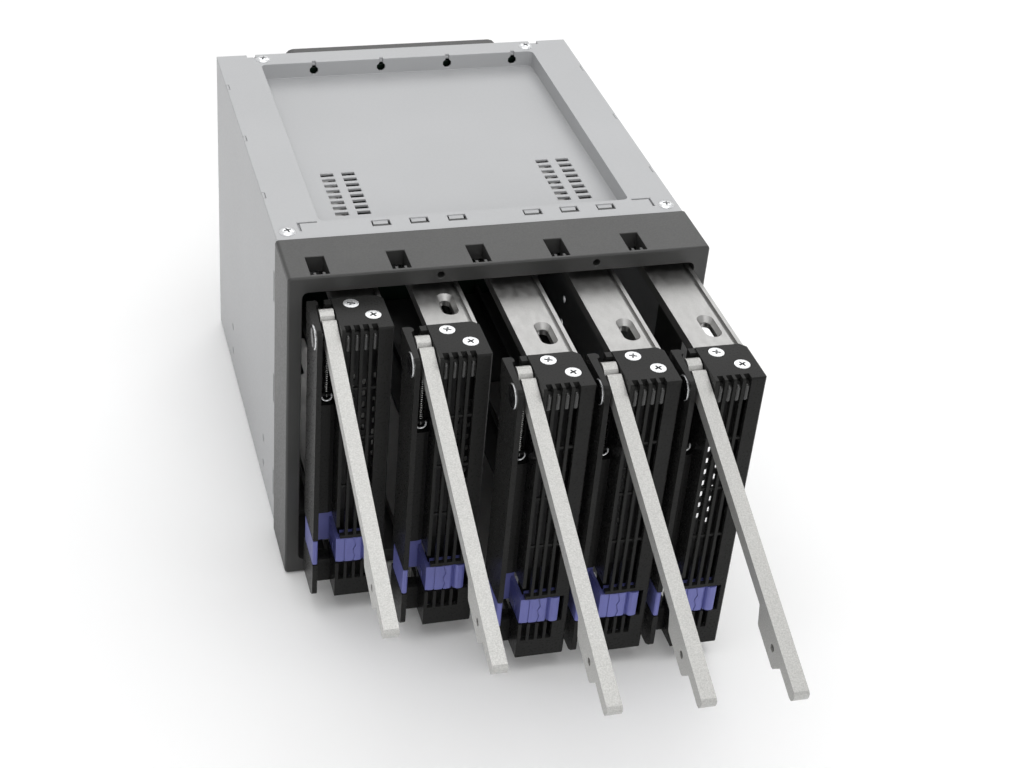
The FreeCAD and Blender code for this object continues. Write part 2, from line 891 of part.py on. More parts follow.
def tray_front_block():
    """Hollow block behind the grille, with a deeper cap at the top and at the bottom."""
    plan = [(channel_right, 0), (tray_right, 0, front_edge), (tray_right, front_depth),
            (channel_right, front_depth)]
    block = prism("z", plan, tray_bottom, tray_top)
    cap_plan = [(channel_right, 0), (tray_right, 0, front_edge), (tray_right, cap_depth - cap_corner),
                (tray_right - cap_corner, cap_depth), (channel_right, cap_depth)]
    cap = prism("z", cap_plan, rail_under - cap_reach, tray_top)
    inside = box(cavity_left, cavity_right, front_wall, cap_depth + past,
                 tray_bottom + cap_thickness, rail_top)
    body = without(joined([block, cap, upside_down(cap)]), [inside])
    lip = box(channel_right, tray_right - front_edge, front_wall / 2, cap_lip, rail_under, rail_top + 0.2)
    return joined([body, lip])


def slit_left(i):
    return tray_right - border_width - slit_width - i * slit_pitch


def grille_cutters():
    """Upright slits between thin columns, with ties set back from the face."""
    ties = [tray_bottom + tie_first + i * tie_pitch for i in range(tie_count)]
    lows = [slit_bottom] + [tie + slit_tie / 2 for tie in ties]
    highs = [tie - slit_tie / 2 for tie in ties] + [slit_top]
    cutters = []
    for i in range(slit_count):
        left = slit_left(i)
        right = left + slit_width
        cutters.append(box(left, right, -past, front_wall / 2, slit_bottom, tray_top + past))
        for low, high in zip(lows, highs):
            cutters.append(box(left, right, -past, front_wall + 0.1, low, high))
        cutters.append(box(left, right, -past, cap_lip, slit_top, tray_top + past))
        cutters.append(box(left, right, -past, front_wall + 0.1,
                           tray_bottom + low_slit_rise, pocket_low + 0.1))
    return cutters


def grille_brow():
    """The rounded bar behind the columns' tops, which closes each slit below its notch."""
    low = brow_top - brow_height
    back = cap_lip + 0.5
    section = [(brow_setback, low), (brow_setback, brow_top, brow_round), (back, brow_top), (back, low)]
    return prism("x", section, slit_left(slit_count - 1) - 0.3, slit_left(0) + slit_width + 0.3)


def top_edge_cutter():
    """Takes the front top edge off the cap in a flat."""
    section = [(-past, tray_top - front_edge - past), (front_edge + past, tray_top + past),
               (-past, tray_top + past)]
    return prism("x", section, channel_right - past, tray_right + past)


def tray_ear():
    """Left wall of the lever channel, thicker at its top rear end."""
    top = tray_top - ear_drop
    wall_side = [(0, tray_bottom + 2.0, 1.5), (3.0, tray_bottom, 1.5), (ear_depth, tray_bottom),
                 (ear_depth, rail_under - 2.0), (ear_top_depth, rail_under - 2.0), (ear_top_depth, top),
                 (0, top, 2.2)]
    wall = prism("x", wall_side, tray_left, ear_inner)
    inner = tray_left + ear_top_thickness
    wedge = [(tray_left, ear_top_depth, 0.8), (inner, ear_top_depth, 0.8), (inner, ear_top_depth - 2.4),
             (inner - 1.0, ear_depth), (ear_inner, 2.4), (tray_left, 2.4)]
    thick = prism("z", wedge, ledge_top - ledge_height, top)
    return joined([wall, thick])


def channel_parts():
    """The bowed strip, the ledge that stops the toe, the back of the spring space and the foot."""
    left = ear_inner - 0.2
    right = channel_right + 0.2
    bow_back = strip_setback + strip_bow
    quarter = (right - left) / 4
    plan = [(left, bow_back), (left + quarter, strip_setback), (right - quarter, strip_setback),
            (right, bow_back), (right, bow_back + strip_thickness), (left, bow_back + strip_thickness)]
    strip = prism("z", plan, strip_bottom, strip_top)
    wall_back = channel_back + channel_wall
    shelf = box(left, right, bow_back, wall_back, strip_top - 1.5, strip_top)
    back_wall = box(left, right, channel_back, wall_back, strip_top - 1.5, ledge_top)
    ledge_low = ledge_top - ledge_height
    ledge = box(left, right, channel_back, channel_back + ledge_depth, ledge_low, ledge_top)
    foot_side = [(foot_setback, tray_bottom), (wall_back, tray_bottom), (wall_back, foot_top),
                 (foot_setback, foot_top, foot_round)]
    foot = prism("x", foot_side, left, right)
    stub = box(channel_right - 2.3, right, ear_top_depth - 2.8, ear_top_depth, ledge_low, tray_top - ear_drop)
    bridge = box(left, right, wall_back, ear_top_depth, ledge_low, ledge_low + 1.5)
    post = peg("x", spring_post_y, spring_post_z, spring_post_radius, left, right, hidden_flat_count)
    return [strip, shelf, back_wall, ledge, foot, stub, bridge, post]


def screw_sink(x, y):
    """The countersunk hole of a tray screw, from the cap's top."""
    low = tray_top - tray_screw_head_depth
    narrow = ring_round(x, y, tray_screw_shank + fit_gap, small_flat_count)
    wide = ring_round(x, y, tray_screw_head + fit_gap, small_flat_count)
    sink = tapered("z", narrow, low, wide, tray_top)
    return joined([sink, prism("z", narrow, rail_top - past, low)])


def tray_front():
    body = joined([tray_front_block(), tray_ear()] + channel_parts())
    body = joined([without(body, grille_cutters()), grille_brow()])
    cutters = [top_edge_cutter()]
    cutters.append(box(channel_right - past, pocket_right, -past, front_wall + 0.1, pocket_low, pocket_high))
    cutters.append(box(tray_left - past, ear_inner + 0.3, -past, ear_depth + past, pocket_low, pocket_high))
    cutters.append(box(channel_right - 0.5, cavity_left + 0.1, -past, front_depth + 3,
                       pocket_low, latch_back_top + latch_gap))
    cutters.append(hole("x", pivot_y, pivot_z, pin_radius, tray_left - past, cavity_left))
    cutters += [screw_sink(x, y) for x, y in tray_screw_places]
    cutters.append(upside_down(screw_sink(*tray_screw_places[0])))
    return without(body, cutters)


def tray_screws():
    """Two countersunk screws on the cap and one below."""
    screws = []
    head_low = tray_top - tray_screw_head_depth
    for x, y in tray_screw_places:
        narrow = ring(x, y, tray_screw_shank, small_flat_count)
        wide = ring(x, y, tray_screw_head, small_flat_count)
        head = tapered("z", narrow, head_low, wide, tray_top)
        screws.append(joined([head, prism("z", narrow, rail_under + 0.5, head_low)]))
    return Part.makeCompound(screws + [upside_down(screws[0])])


# Rails

def true_slot(y):
    """A slot with true round ends, for the drive's screws."""
    half = rail_slot_width / 2
    reach = (rail_slot_length - rail_slot_width) / 2
    low, high = rail_under - past, rail_top + past
    middle = box(drive_hole_x - half, drive_hole_x + half, y - reach, y + reach, low, high)
    ends = [bore("z", drive_hole_x, y + end, half, low, high) for end in (-reach, reach)]
    return joined([middle] + ends)


def countersink(y):
    """The sink over a slot, with sloping sides."""
    plain = oblong(drive_hole_x, y, rail_slot_length, rail_slot_width)
    wide = oblong(drive_hole_x, y, rail_sink_length, rail_sink_width)
    return tapered("z", plain, rail_top - rail_sink_depth, wide, rail_top)


def rail_blank():
    """Bar with a groove and a lip along its right edge, and a tongue that enters the tray front."""
    lip_left = rail_right - rail_lip_width
    groove_left = lip_left - rail_groove_width
    section = [(rail_left, rail_under), (rail_right, rail_under), (rail_right, rail_top + rail_lip_height),
               (lip_left, rail_top + rail_lip_height), (lip_left, rail_top - rail_groove_depth),
               (groove_left, rail_top - rail_groove_depth), (groove_left, rail_top), (rail_left, rail_top)]
    bar = prism("y", section, cap_depth + fit_gap, rail_rear)
    tongue = box(cavity_left + fit_gap, groove_left, cap_lip + 0.5 + fit_gap, cap_depth + fit_gap,
                 rail_under, rail_top)
    return joined([bar, tongue])


def upper_rail():
    slots = [drive_rear - from_rear for from_rear in drive_hole_from_rear]
    cutters = [true_slot(y) for y in slots] + [countersink(y) for y in slots]
    for x, y in tray_screw_places:
        cutters.append(hole("z", x, y, tray_screw_shank, rail_under - past, rail_top + past))
    return without(rail_blank(), cutters)


def lower_rail():
    """The upper rail's bar upside down, whose slots are open below."""
    cutters = []
    for from_rear in drive_hole_from_rear:
        outline = oblong(drive_hole_x, drive_rear - from_rear, rail_slot_length, rail_slot_width)
        cutters.append(prism("z", outline, rail_under - past, rail_top + past))
    x, y = tray_screw_places[0]
    cutters.append(hole("z", x, y, tray_screw_shank, rail_under - past, rail_top + past))
    return upside_down(without(rail_blank(), cutters))


# Lever, pin and spring

def lever_outline():
    """The lever's side, drawn with its arm along the first axis and its pivot at zero."""
    under = lever_top - lever_thickness
    blade = lever_top - blade_depth
    toe_end = -toe_reach - toe_radius
    toe_high = toe_radius - toe_drop
    toe_low = -toe_radius - toe_drop
    return [(-4.4, lever_top, 1.3), (lever_length, lever_top, 1.4), (lever_length, under, 1.6),
            (blade_end, under), (blade_end - 2.4, blade, 0.9), (blade_start + 4.0, blade, 0.9),
            (blade_start, under), (5.5, under, 1.8), (2.2, -3.7), (-6.0, -3.7),
            (toe_end, toe_low, 1.9), (toe_end, toe_high, 2.3), (-6.9, toe_high, 1.0), (-5.2, 0.5)]


def lever():
    """Flat cast lever with a toe behind the pivot, a deeper blade near its tip and a spring lug."""
    body = prism("x", [(-u, n, *r) for u, n, *r in lever_outline()], lever_left, lever_right)
    lug_side = rectangle(lug_reach - lug_width / 2, lug_reach + lug_width / 2,
                         -lug_drop - lug_width / 2, -2.0, 0.7)
    lug = prism("x", lug_side, lever_middle - lug_thickness / 2, lever_middle + lug_thickness / 2)
    low, high = lever_left - past, lever_right + past
    cutters = [hole("x", 0, 0, pin_radius + pin_running_gap, low, high),
               hole("x", lug_reach, -lug_drop, lug_hole_radius, low, high, hidden_flat_count),
               hole("x", dimple_from_tip - lever_length, -lever_thickness / 2, dimple_radius, low, high)]
    body = without(joined([body, lug]), cutters)
    body.rotate(V(0, 0, 0), V(1, 0, 0), lever_open_angle)
    return body.translated(V(0, pivot_y, pivot_z))


def pivot_pin():
    shank = peg("x", pivot_y, pivot_z, pin_radius, tray_left, cavity_left)
    head = peg("x", pivot_y, pivot_z, pin_head_radius, tray_left - pin_head_thickness, tray_left,
               head_flat_count)
    return joined([shank, head])


def spring_eye():
    """Place of the lug's hole when the lever is open."""
    turn = math.radians(lever_open_angle)
    y = lug_reach * math.cos(turn) + lug_drop * math.sin(turn)
    z = lug_reach * math.sin(turn) - lug_drop * math.cos(turn)
    return pivot_y + y, pivot_z + z


def lever_spring():
    """Extension spring from the lug down to the post, its coils as one closed bar with a hook at each end."""
    top_y, top_z = spring_eye()
    coil_low = spring_post_z + spring_post_radius + 2 * spring_wire
    coil_high = top_z - lug_width / 2 - spring_wire
    low = ring(lever_middle, spring_post_y, spring_radius, hidden_flat_count)
    high = ring(lever_middle, top_y, spring_radius, hidden_flat_count)
    coils = tapered("z", low, coil_low, high, coil_high)
    wire = spring_wire
    reach = lug_thickness / 2 + 2 * wire
    hook_side = [(top_y - wire, top_z - wire), (top_y + wire, top_z - wire), (top_y + wire, top_z + wire),
                 (top_y - wire, top_z + wire)]
    upper = prism("x", hook_side, lever_middle - reach, lever_middle + reach)
    arm = box(lever_middle + reach - 2 * wire, lever_middle + reach, top_y - wire, top_y + wire,
              coil_high - wire, top_z + wire)
    post_low = spring_post_z - spring_post_radius - 2 * wire
    behind = spring_post_y + spring_post_radius
    back = box(lever_middle - wire, lever_middle + wire, behind, behind + 2 * wire, post_low, coil_low + wire)
    under = box(lever_middle - wire, lever_middle + wire, spring_post_y - spring_post_radius,
                behind + 2 * wire, post_low, post_low + 2 * wire)
    return joined([coils, upper, arm, back, under])


# Latch and screen

def finger_tab_plan():
    """Plan of the blue tab: a flat part, a groove and a round roll at its free end."""
    front = 0.2
    return [(channel_right + 0.2, latch_tab_depth), (channel_right + 0.2, front + 0.4, 0.4),
            (0.0, front, 0.5), (4.6, front, 0.5), (5.5, front + 1.2), (6.3, front - 0.6, 0.8),
            (latch_tab_right, front - 0.6, 1.2), (latch_tab_right, latch_tab_depth)]


def latch():
    """U-shaped slider round the lever channel, with the finger tab in the grille's pocket."""
    low, high = latch_bottom, latch_top
    back_rear = latch_back_y + latch_wall
    right = channel_right + latch_wall
    left_flank = prism("z", [(tray_left, 0.2, 0.4), (ear_inner, 0.2, 0.4), (ear_inner, back_rear),
                             (tray_left, back_rear)], low, high)
    back = box(tray_left, right, latch_back_y, back_rear, low, high)
    upper_back = box(ear_inner + 1.7, right, latch_back_y, back_rear, high, latch_back_top)
    right_flank = box(channel_right + 0.2, right, 0.6, back_rear, low, high)
    tab = prism("z", finger_tab_plan(), low, high)
    keeper = box(cavity_left + 0.4, latch_tab_right, front_wall + running_gap, latch_tab_depth,
                 low - 1.6, high + 1.6)
    tooth = box(channel_right, channel_right + latch_tooth_thickness, latch_tooth_front,
                latch_tooth_front + latch_tooth_size, low + latch_tooth_rise,
                low + latch_tooth_rise + latch_tooth_size)
    zigzag = [(1.6, high + past), (1.6, high - 0.4), (2.4, low + 7), (1.4, low + 5), (2.2, low + 2.5),
              (1.6, low), (2.0, low), (2.6, low + 2.5), (1.8, low + 5), (2.8, low + 7), (2.0, high - 0.4),
              (2.0, high + past)]
    grooves = [prism("y", zigzag, -past, 0.6), box(-1.6, -1.2, -past, 0.7, low - past, high + past)]
    return joined([left_flank, back, upper_back, right_flank, tab, keeper, tooth]).cut(grooves)


def air_screen():
    """The sheet across the hollow block; its fine holes are left to the finish."""
    low = latch_back_top + strip_above_latch
    high = rail_under - 2.5
    return box(cavity_left, cavity_right, screen_y, screen_y + screen_thickness, low, high)


# The whole cage

def cage_nodes():
    return {
        "front_bezel": front_bezel(),
        "housing_shell": housing_shell(),
        "top_cover": top_cover(),
        "rear_panel": rear_panel(),
        "upper_guide": upper_guide(),
        "lower_guide": lower_guide(),
        "backplane_board": backplane_board(),
        "drive_connectors": drive_connectors(),
        "rear_ports": rear_ports(),
        "fan_frame": fan_frame(),
        "fan_rotor": fan_rotor(),
        "fan_guard": fan_guard(),
        "fan_screws": fan_screws(),
        "housing_screws": housing_screws(),
    }


def tray_nodes():
    return {
        "front": tray_front(),
        "upper_rail": upper_rail(),
        "lower_rail": lower_rail(),
        "lever": lever(),
        "pivot_pin": pivot_pin(),
        "lever_spring": lever_spring(),
        "latch": latch(),
        "air_screen": air_screen(),
        "screws": tray_screws(),
    }


def all_nodes():
    nodes = cage_nodes()
    for name, shape in tray_nodes().items():
        for k in range(tray_count):
            nodes[f"tray_{k + 1}_{name}"] = seated(shape, k)
    return nodes


os.makedirs("parts", exist_ok=True)
for name, shape in all_nodes().items():
    shape.exportStep(f"parts/{name}.step")
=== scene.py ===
# %% [markdown]
# # A hot swap drive cage
# The real cage is a grey steel box with a dark plastic bezel. Five narrow trays slide out of it, each
# with a cast lever, a blue latch and a slotted front. The solids come from CAD, so this lesson is
# about what a solid lacks: edges that catch the light, finishes, wound springs, fine holes, screws
# with a real recess, light and a camera.

# %% Load the solids
import json
import math
import bmesh
import bpy
from mathutils import Matrix, Vector


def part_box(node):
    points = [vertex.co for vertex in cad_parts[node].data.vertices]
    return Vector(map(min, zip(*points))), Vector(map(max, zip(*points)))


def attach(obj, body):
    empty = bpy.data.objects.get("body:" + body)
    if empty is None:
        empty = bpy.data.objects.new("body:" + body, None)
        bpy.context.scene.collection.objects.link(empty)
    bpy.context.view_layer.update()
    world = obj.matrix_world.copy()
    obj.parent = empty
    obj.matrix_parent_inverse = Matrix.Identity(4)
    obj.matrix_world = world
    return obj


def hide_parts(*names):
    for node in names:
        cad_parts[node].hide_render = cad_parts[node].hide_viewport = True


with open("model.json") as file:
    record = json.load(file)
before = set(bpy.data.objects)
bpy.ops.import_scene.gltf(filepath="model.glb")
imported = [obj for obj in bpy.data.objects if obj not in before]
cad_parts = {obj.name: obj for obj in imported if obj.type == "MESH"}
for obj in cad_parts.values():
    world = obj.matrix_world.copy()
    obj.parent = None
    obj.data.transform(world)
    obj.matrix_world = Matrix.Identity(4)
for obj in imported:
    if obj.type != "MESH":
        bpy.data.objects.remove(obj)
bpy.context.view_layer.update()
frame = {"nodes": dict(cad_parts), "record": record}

nodes = frame["nodes"]
tray_fronts = [name for name in nodes if name.endswith("_front")]
tray_numbers = sorted(int(name.split("_")[1]) for name in tray_fronts)
print(len(nodes), "solids,", len(tray_numbers), "trays")

# %% [markdown]
# ## The camera
# The photograph was taken from high up on the left, with the camera tilted a little. A camera can be
# pointed by eye, but here its numbers were worked out from corners whose real places are known. The
# picture was also cropped, so the lens looks at a point beside the middle, which Blender calls shift.

# %% Place the camera
millimetre = 0.001
picture_wide = 1024
picture_high = 768
view_turn = math.radians(-15.63)
view_rise = math.radians(35.62)
view_tilt = 0.0662
view_distance = 746.2213 * millimetre
view_target = Vector((0, 80, 7.3771)) * millimetre
lens_pixels = 1822.202
lens_centre = (430.5736, 413.1382)
nearest_seen = 10 * millimetre


def add_object(name, data):
    """Puts new data into the scene as an object."""
    thing = bpy.data.objects.new(name, data)
    bpy.context.scene.collection.objects.link(thing)
    return thing


towards_camera = Vector((math.sin(view_turn) * math.cos(view_rise),
                         -math.cos(view_turn) * math.cos(view_rise), math.sin(view_rise)))
level = Vector((0, 0, 1)).cross(towards_camera).normalized()
upright = towards_camera.cross(level)
across = math.cos(view_tilt) * level + math.sin(view_tilt) * upright
upward = math.cos(view_tilt) * upright - math.sin(view_tilt) * level

lens = bpy.data.cameras.new("photo_lens")
lens.sensor_fit = "HORIZONTAL"
lens.lens = lens_pixels * lens.sensor_width / picture_wide
lens.shift_x = 0.5 - lens_centre[0] / picture_wide
lens.shift_y = (lens_centre[1] - picture_high / 2) / picture_wide
lens.clip_start = nearest_seen
camera = add_object("photo_camera", lens)
camera.matrix_world = Matrix((across, upward, towards_camera)).transposed().to_4x4()
camera.location = view_target + towards_camera * view_distance
bpy.context.scene.camera = camera
print("lens", round(lens.lens, 1), "mm, shift", round(lens.shift_x, 4), round(lens.shift_y, 4))

# %% [markdown]
# ## The floor
# The cage stands on white paper that is lit until it is just past white, so that only soft shadows
# show on it. The paper could curve up into a backdrop, but the camera looks down and sees nothing but
# floor, so one flat sheet does. It lies a hair below zero, or it would share a face with the cage's
# base. The plain colour transform keeps white as white, where the filmic one would turn it grey.

# %% Lay the floor
floor_size = 12.0
floor_drop = 0.2 * millimetre
floor_white = 0.97
bpy.context.scene.view_settings.view_transform = "Standard"


def finish(name, colour, roughness, metallic=0.0, gloss=0.5):
    """A plain material. Every finish in this lesson starts from one."""
    material = bpy.data.materials.new(name)
    material.use_nodes = True
    shader = material.node_tree.nodes["Principled BSDF"]
    shader.inputs["Base Color"].default_value = (*colour, 1)
    shader.inputs["Roughness"].default_value = roughness
    shader.inputs["Metallic"].default_value = metallic
    shader.inputs["Specular IOR Level"].default_value = gloss
    return material


paper = finish("white_paper", [floor_white] * 3, roughness=0.9, gloss=0.1)
bpy.ops.mesh.primitive_plane_add(size=floor_size, location=(0, 0, -floor_drop))
floor = bpy.context.object
floor.name = "studio_floor"
floor.data.materials.append(paper)
print("floor", floor_size, "m wide")

# %% [markdown]
# ## The sky
# White walls round the cage would fill in its shadows from every side. A pale sky does the same and
# needs no walls. If it were even, rounded edges would have nothing dark to mirror and would fade into
# the faces beside them, so it is dimmer behind the camera. A dot product says how near a direction is
# to the dim side, and that fades one strength into the other.

# %% Hang the sky
sky_strength = 0.78
dark_strength = 0.22
dark_side = Vector((-0.2, -0.85, 0.5)).normalized()
fade_start = 0.35
fade_end = 0.85

sky = bpy.data.worlds.new("pale_sky")
sky.use_nodes = True
tree = sky.node_tree
background = tree.nodes["Background"]
background.inputs["Color"].default_value = (1, 1, 1, 1)
where = tree.nodes.new("ShaderNodeTexCoord")
towards = tree.nodes.new("ShaderNodeVectorMath")
towards.operation = "DOT_PRODUCT"
towards.inputs[1].default_value = dark_side
fade = tree.nodes.new("ShaderNodeMapRange")
fade.interpolation_type = "SMOOTHSTEP"
fade.inputs["From Min"].default_value = fade_start
fade.inputs["From Max"].default_value = fade_end
fade.inputs["To Min"].default_value = sky_strength
fade.inputs["To Max"].default_value = dark_strength
tree.links.new(where.outputs["Generated"], towards.inputs[0])
tree.links.new(towards.outputs["Value"], fade.inputs["Value"])
tree.links.new(fade.outputs["Result"], background.inputs["Strength"])
bpy.context.scene.world = sky
print("sky from", dark_strength, "to", sky_strength)

# %% [markdown]
# ## Light panels
# In a product photograph the metal and the satin plastic mirror the lamps, so the lamps are large soft
# boxes. Small lamps would leave hard spots and hard shadows. Area lamps about a metre wide give long
# even reflections, and each is turned to face the cage.

# %% Hang the panels
def light_panel(name, place, aim, wide, high, watts):
    """A large rectangular lamp that faces a point."""
    lamp = bpy.data.lights.new(name, "AREA")
    lamp.shape = "RECTANGLE"
    lamp.size = wide
    lamp.size_y = high
    lamp.energy = watts
    panel = add_object(name, lamp)
    panel.location = place
    panel.rotation_euler = (Vector(aim) - Vector(place)).to_track_quat("-Z", "Y").to_euler()


light_panel("behind_above", place=(0.45, 1.55, 1.25), aim=(0, 0.1, 0.1), wide=1.6, high=1.0, watts=6)
light_panel("overhead", place=(-0.1, -0.15, 1.7), aim=(0, 0, 0.05), wide=1.6, high=1.6, watts=14)
light_panel("front_high", place=(0.1, -1.9, 0.8), aim=(0, 0, 0.05), wide=1.2, high=0.7, watts=13)
print("three panels hung")

# %% [markdown]
# ## Edges that catch the light
# No moulded or folded edge is perfectly sharp, and the thin bright line along it is what makes a part
# look real. The CAD solids have sharp edges. They could be rounded in CAD at the cost of many faces,
# but a bevel modifier does it on top of each solid without touching the mesh. The mesh is welded
# first, because a bevel needs neighbouring faces to share their corners. The low angle limit also
# rounds the rows of flats that stand for rounds in the solids.

# %% Soften the edges
edge_width = {"default": 0.25, "lever": 0.4, "front_bezel": 0.5, "shell": 0.3, "cover": 0.2}
edge_angle = math.radians(18)
weld_distance = 0.002 * millimetre


def soften(solid, width):
    """Rounds the edges of a solid, by a width in millimetres."""
    weld = solid.modifiers.new("weld", "WELD")
    weld.merge_threshold = weld_distance
    bevel = solid.modifiers.new("edge", "BEVEL")
    bevel.width = width * millimetre
    bevel.segments = 2
    bevel.limit_method = "ANGLE"
    bevel.angle_limit = edge_angle
    bevel.use_clamp_overlap = True
    bevel.loop_slide = False
    even = solid.modifiers.new("even", "WEIGHTED_NORMAL")
    even.mode = "FACE_AREA"
    even.keep_sharp = True


def width_for(name):
    for word, width in edge_width.items():
        if word in name:
            return width
    return edge_width["default"]


for name, solid in nodes.items():
    soften(solid, width_for(name))
print("edges softened on", len(nodes), "solids")

# %% [markdown]
# ## Finishes
# Each finish is one procedural material: a colour that drifts slightly, a roughness that varies, and
# a small bump at the real size of the grain. Object coordinates are in metres here, so a scale of
# 3000 gives grain a third of a millimetre across. An image would do as well but would need unwrapping.

# %% Grain for a finish
noise_low = 0.3
noise_high = 0.7


def noise_at(material, scale, stretch=(1, 1, 1), detail=3.0):
    """Noise in the part's own metres, squeezed along an axis by stretch."""
    tree = material.node_tree
    where = tree.nodes.new("ShaderNodeTexCoord")
    squeeze = tree.nodes.new("ShaderNodeMapping")
    squeeze.inputs["Scale"].default_value = stretch
    noise = tree.nodes.new("ShaderNodeTexNoise")
    noise.inputs["Scale"].default_value = scale
    noise.inputs["Detail"].default_value = detail
    tree.links.new(where.outputs["Object"], squeeze.inputs["Vector"])
    tree.links.new(squeeze.outputs["Vector"], noise.inputs["Vector"])
    return noise.outputs["Fac"]


def drift_colour(material, noise, colour, darkest, lightest):
    """Lets the colour wander between a darker and a lighter shade as the noise does."""
    tree = material.node_tree
    ramp = tree.nodes.new("ShaderNodeValToRGB")
    ends = ((noise_low, darkest), (noise_high, lightest))
    for element, (position, shade) in zip(ramp.color_ramp.elements, ends):
        element.position = position
        element.color = (*(channel * shade for channel in colour), 1)
    tree.links.new(noise, ramp.inputs["Fac"])
    tree.links.new(ramp.outputs["Color"], tree.nodes["Principled BSDF"].inputs["Base Color"])


def vary_roughness(material, noise, low, high):
    tree = material.node_tree
    span = tree.nodes.new("ShaderNodeMapRange")
    span.inputs["From Min"].default_value = noise_low
    span.inputs["From Max"].default_value = noise_high
    span.inputs["To Min"].default_value = low
    span.inputs["To Max"].default_value = high
    tree.links.new(noise, span.inputs["Value"])
    tree.links.new(span.outputs["Result"], tree.nodes["Principled BSDF"].inputs["Roughness"])


def raise_grain(material, noise, depth_mm, strength):
    tree = material.node_tree
    bump = tree.nodes.new("ShaderNodeBump")
    bump.inputs["Distance"].default_value = depth_mm * millimetre
    bump.inputs["Strength"].default_value = strength
    tree.links.new(noise, bump.inputs["Height"])
    tree.links.new(bump.outputs["Normal"], tree.nodes["Principled BSDF"].inputs["Normal"])


print("finishes use noise from", noise_low, "to", noise_high)

# %% [markdown]
# ## Paint on steel
# The housing is folded steel with a smooth satin paint. Paint like this is even, with a faint orange
# peel of soft waves. The waves could be modelled, but they are far too shallow to change an outline,
# so a low bump does, with waves about half a millimetre long.

# %% Mix the housing paint
def housing_paint():
    grey = (0.412, 0.417, 0.425)
    paint = finish("housing_paint", grey, roughness=0.42, metallic=0.1)
    drift_colour(paint, noise_at(paint, scale=14), grey, darkest=0.97, lightest=1.03)
    vary_roughness(paint, noise_at(paint, scale=900), low=0.38, high=0.48)
    raise_grain(paint, noise_at(paint, scale=1800), depth_mm=0.01, strength=0.5)
    return paint


print("paint recipe ready")

# %% [markdown]
# ## Moulded plastic
# Bezel, guides and trays are moulded in dark plastic with a spark-eroded grain, a fine pebble that
# breaks up the highlight. The trays are nearly black and the bezel is a shade lighter. One recipe with
# the colour and the gloss left open gives them all, and the blue of the latches too.

# %% Mix the plastics
def grained_plastic(name, colour, roughness, gloss=0.5, grain_scale=4200, grain_mm=0.02):
    plastic = finish(name, colour, roughness, gloss=gloss)
    drift_colour(plastic, noise_at(plastic, scale=60), colour, darkest=0.9, lightest=1.1)
    vary_roughness(plastic, noise_at(plastic, grain_scale / 3), roughness - 0.06, roughness + 0.06)
    raise_grain(plastic, noise_at(plastic, grain_scale), grain_mm, strength=0.7)
    return plastic


print("plastic recipe ready")

# %% [markdown]
# ## Metals
# The levers are cast, so their skin has a fine sandy grain. The rails are matt aluminium with an even
# finer grain that blurs what they mirror. Screws are zinc plated and the springs are drawn steel, and
# one recipe serves both. A metal's colour is how much of the surroundings it gives back, so a dark
# steel is the same recipe with a lower colour.

# %% Mix the metals
def cast_metal():
    silver = (0.46, 0.458, 0.444)
    cast = finish("cast_lever", silver, roughness=0.45, metallic=0.75)
    drift_colour(cast, noise_at(cast, scale=2600, detail=4), silver, darkest=0.80, lightest=1.14)
    vary_roughness(cast, noise_at(cast, scale=2000), low=0.38, high=0.54)
    raise_grain(cast, noise_at(cast, scale=2400, detail=4), depth_mm=0.06, strength=0.7)
    return cast


def matt_aluminium():
    silver = (0.40, 0.397, 0.39)
    matt = finish("matt_aluminium", silver, roughness=0.4, metallic=1.0)
    grain = noise_at(matt, scale=3200, detail=2)
    drift_colour(matt, grain, silver, darkest=0.93, lightest=1.05)
    vary_roughness(matt, noise_at(matt, scale=500, stretch=(1, 0.4, 1)), low=0.34, high=0.46)
    raise_grain(matt, grain, depth_mm=0.02, strength=0.7)
    return matt


def plated_steel(name, colour, roughness, metallic=1.0):
    plated = finish(name, colour, roughness, metallic)
    vary_roughness(plated, noise_at(plated, scale=1500), roughness - 0.06, roughness + 0.08)
    raise_grain(plated, noise_at(plated, scale=3000), depth_mm=0.006, strength=0.5)
    return plated


print("metal recipes ready")

# %% [markdown]
# ## Which finish goes where
# The record already says which material slot each solid belongs to. Finishes could be given name by
# name, but going by slot keeps the five trays alike and leaves no solid out.

# %% Give every solid its finish
slot_finishes = {
    "housing_paint": housing_paint(),
    "dark_plastic": grained_plastic("bezel_plastic", (0.036, 0.036, 0.035), roughness=0.42),
    "tray_plastic": grained_plastic("tray_plastic", (0.018, 0.018, 0.0175), roughness=0.3, gloss=0.08),
    "rail_metal": matt_aluminium(),
    "cast_lever": cast_metal(),
    "blue_plastic": grained_plastic("latch_blue", (0.112, 0.120, 0.34), roughness=0.38,
                                    grain_scale=5000, grain_mm=0.01),
    "bright_steel": plated_steel("zinc_plate", (0.74, 0.75, 0.76), roughness=0.28, metallic=0.75),
    "screen_sheet": grained_plastic("screen_black", (0.012, 0.012, 0.012), roughness=0.45, gloss=0.3),
    "circuit_board": grained_plastic("board_green", (0.005, 0.016, 0.009), roughness=0.4, gloss=0.3,
                                     grain_scale=2500),
    "socket_plastic": grained_plastic("socket_black", (0.014, 0.014, 0.015), roughness=0.4),
    "fan_blades": grained_plastic("fan_black", (0.014, 0.014, 0.014), roughness=0.3),
}
slot_of_node = {row["node"]: row["material_slot"] for row in frame["record"]["subparts"]}
for name, solid in nodes.items():
    solid.data.materials.clear()
    solid.data.materials.append(slot_finishes[slot_of_node[name]])
print("finishes given to", len(nodes), "solids")

# %% [markdown]
# ## New pieces
# Springs, screws and the fine holes are too small for the solids, so they are made here and each
# stands for its CAD node. Small pieces are drawn in millimetres, where the tools are accurate, and
# turned to metres at the end.

# %% Helpers for new pieces
body_nodes = frame["record"]["behaviour"]["bodies"]


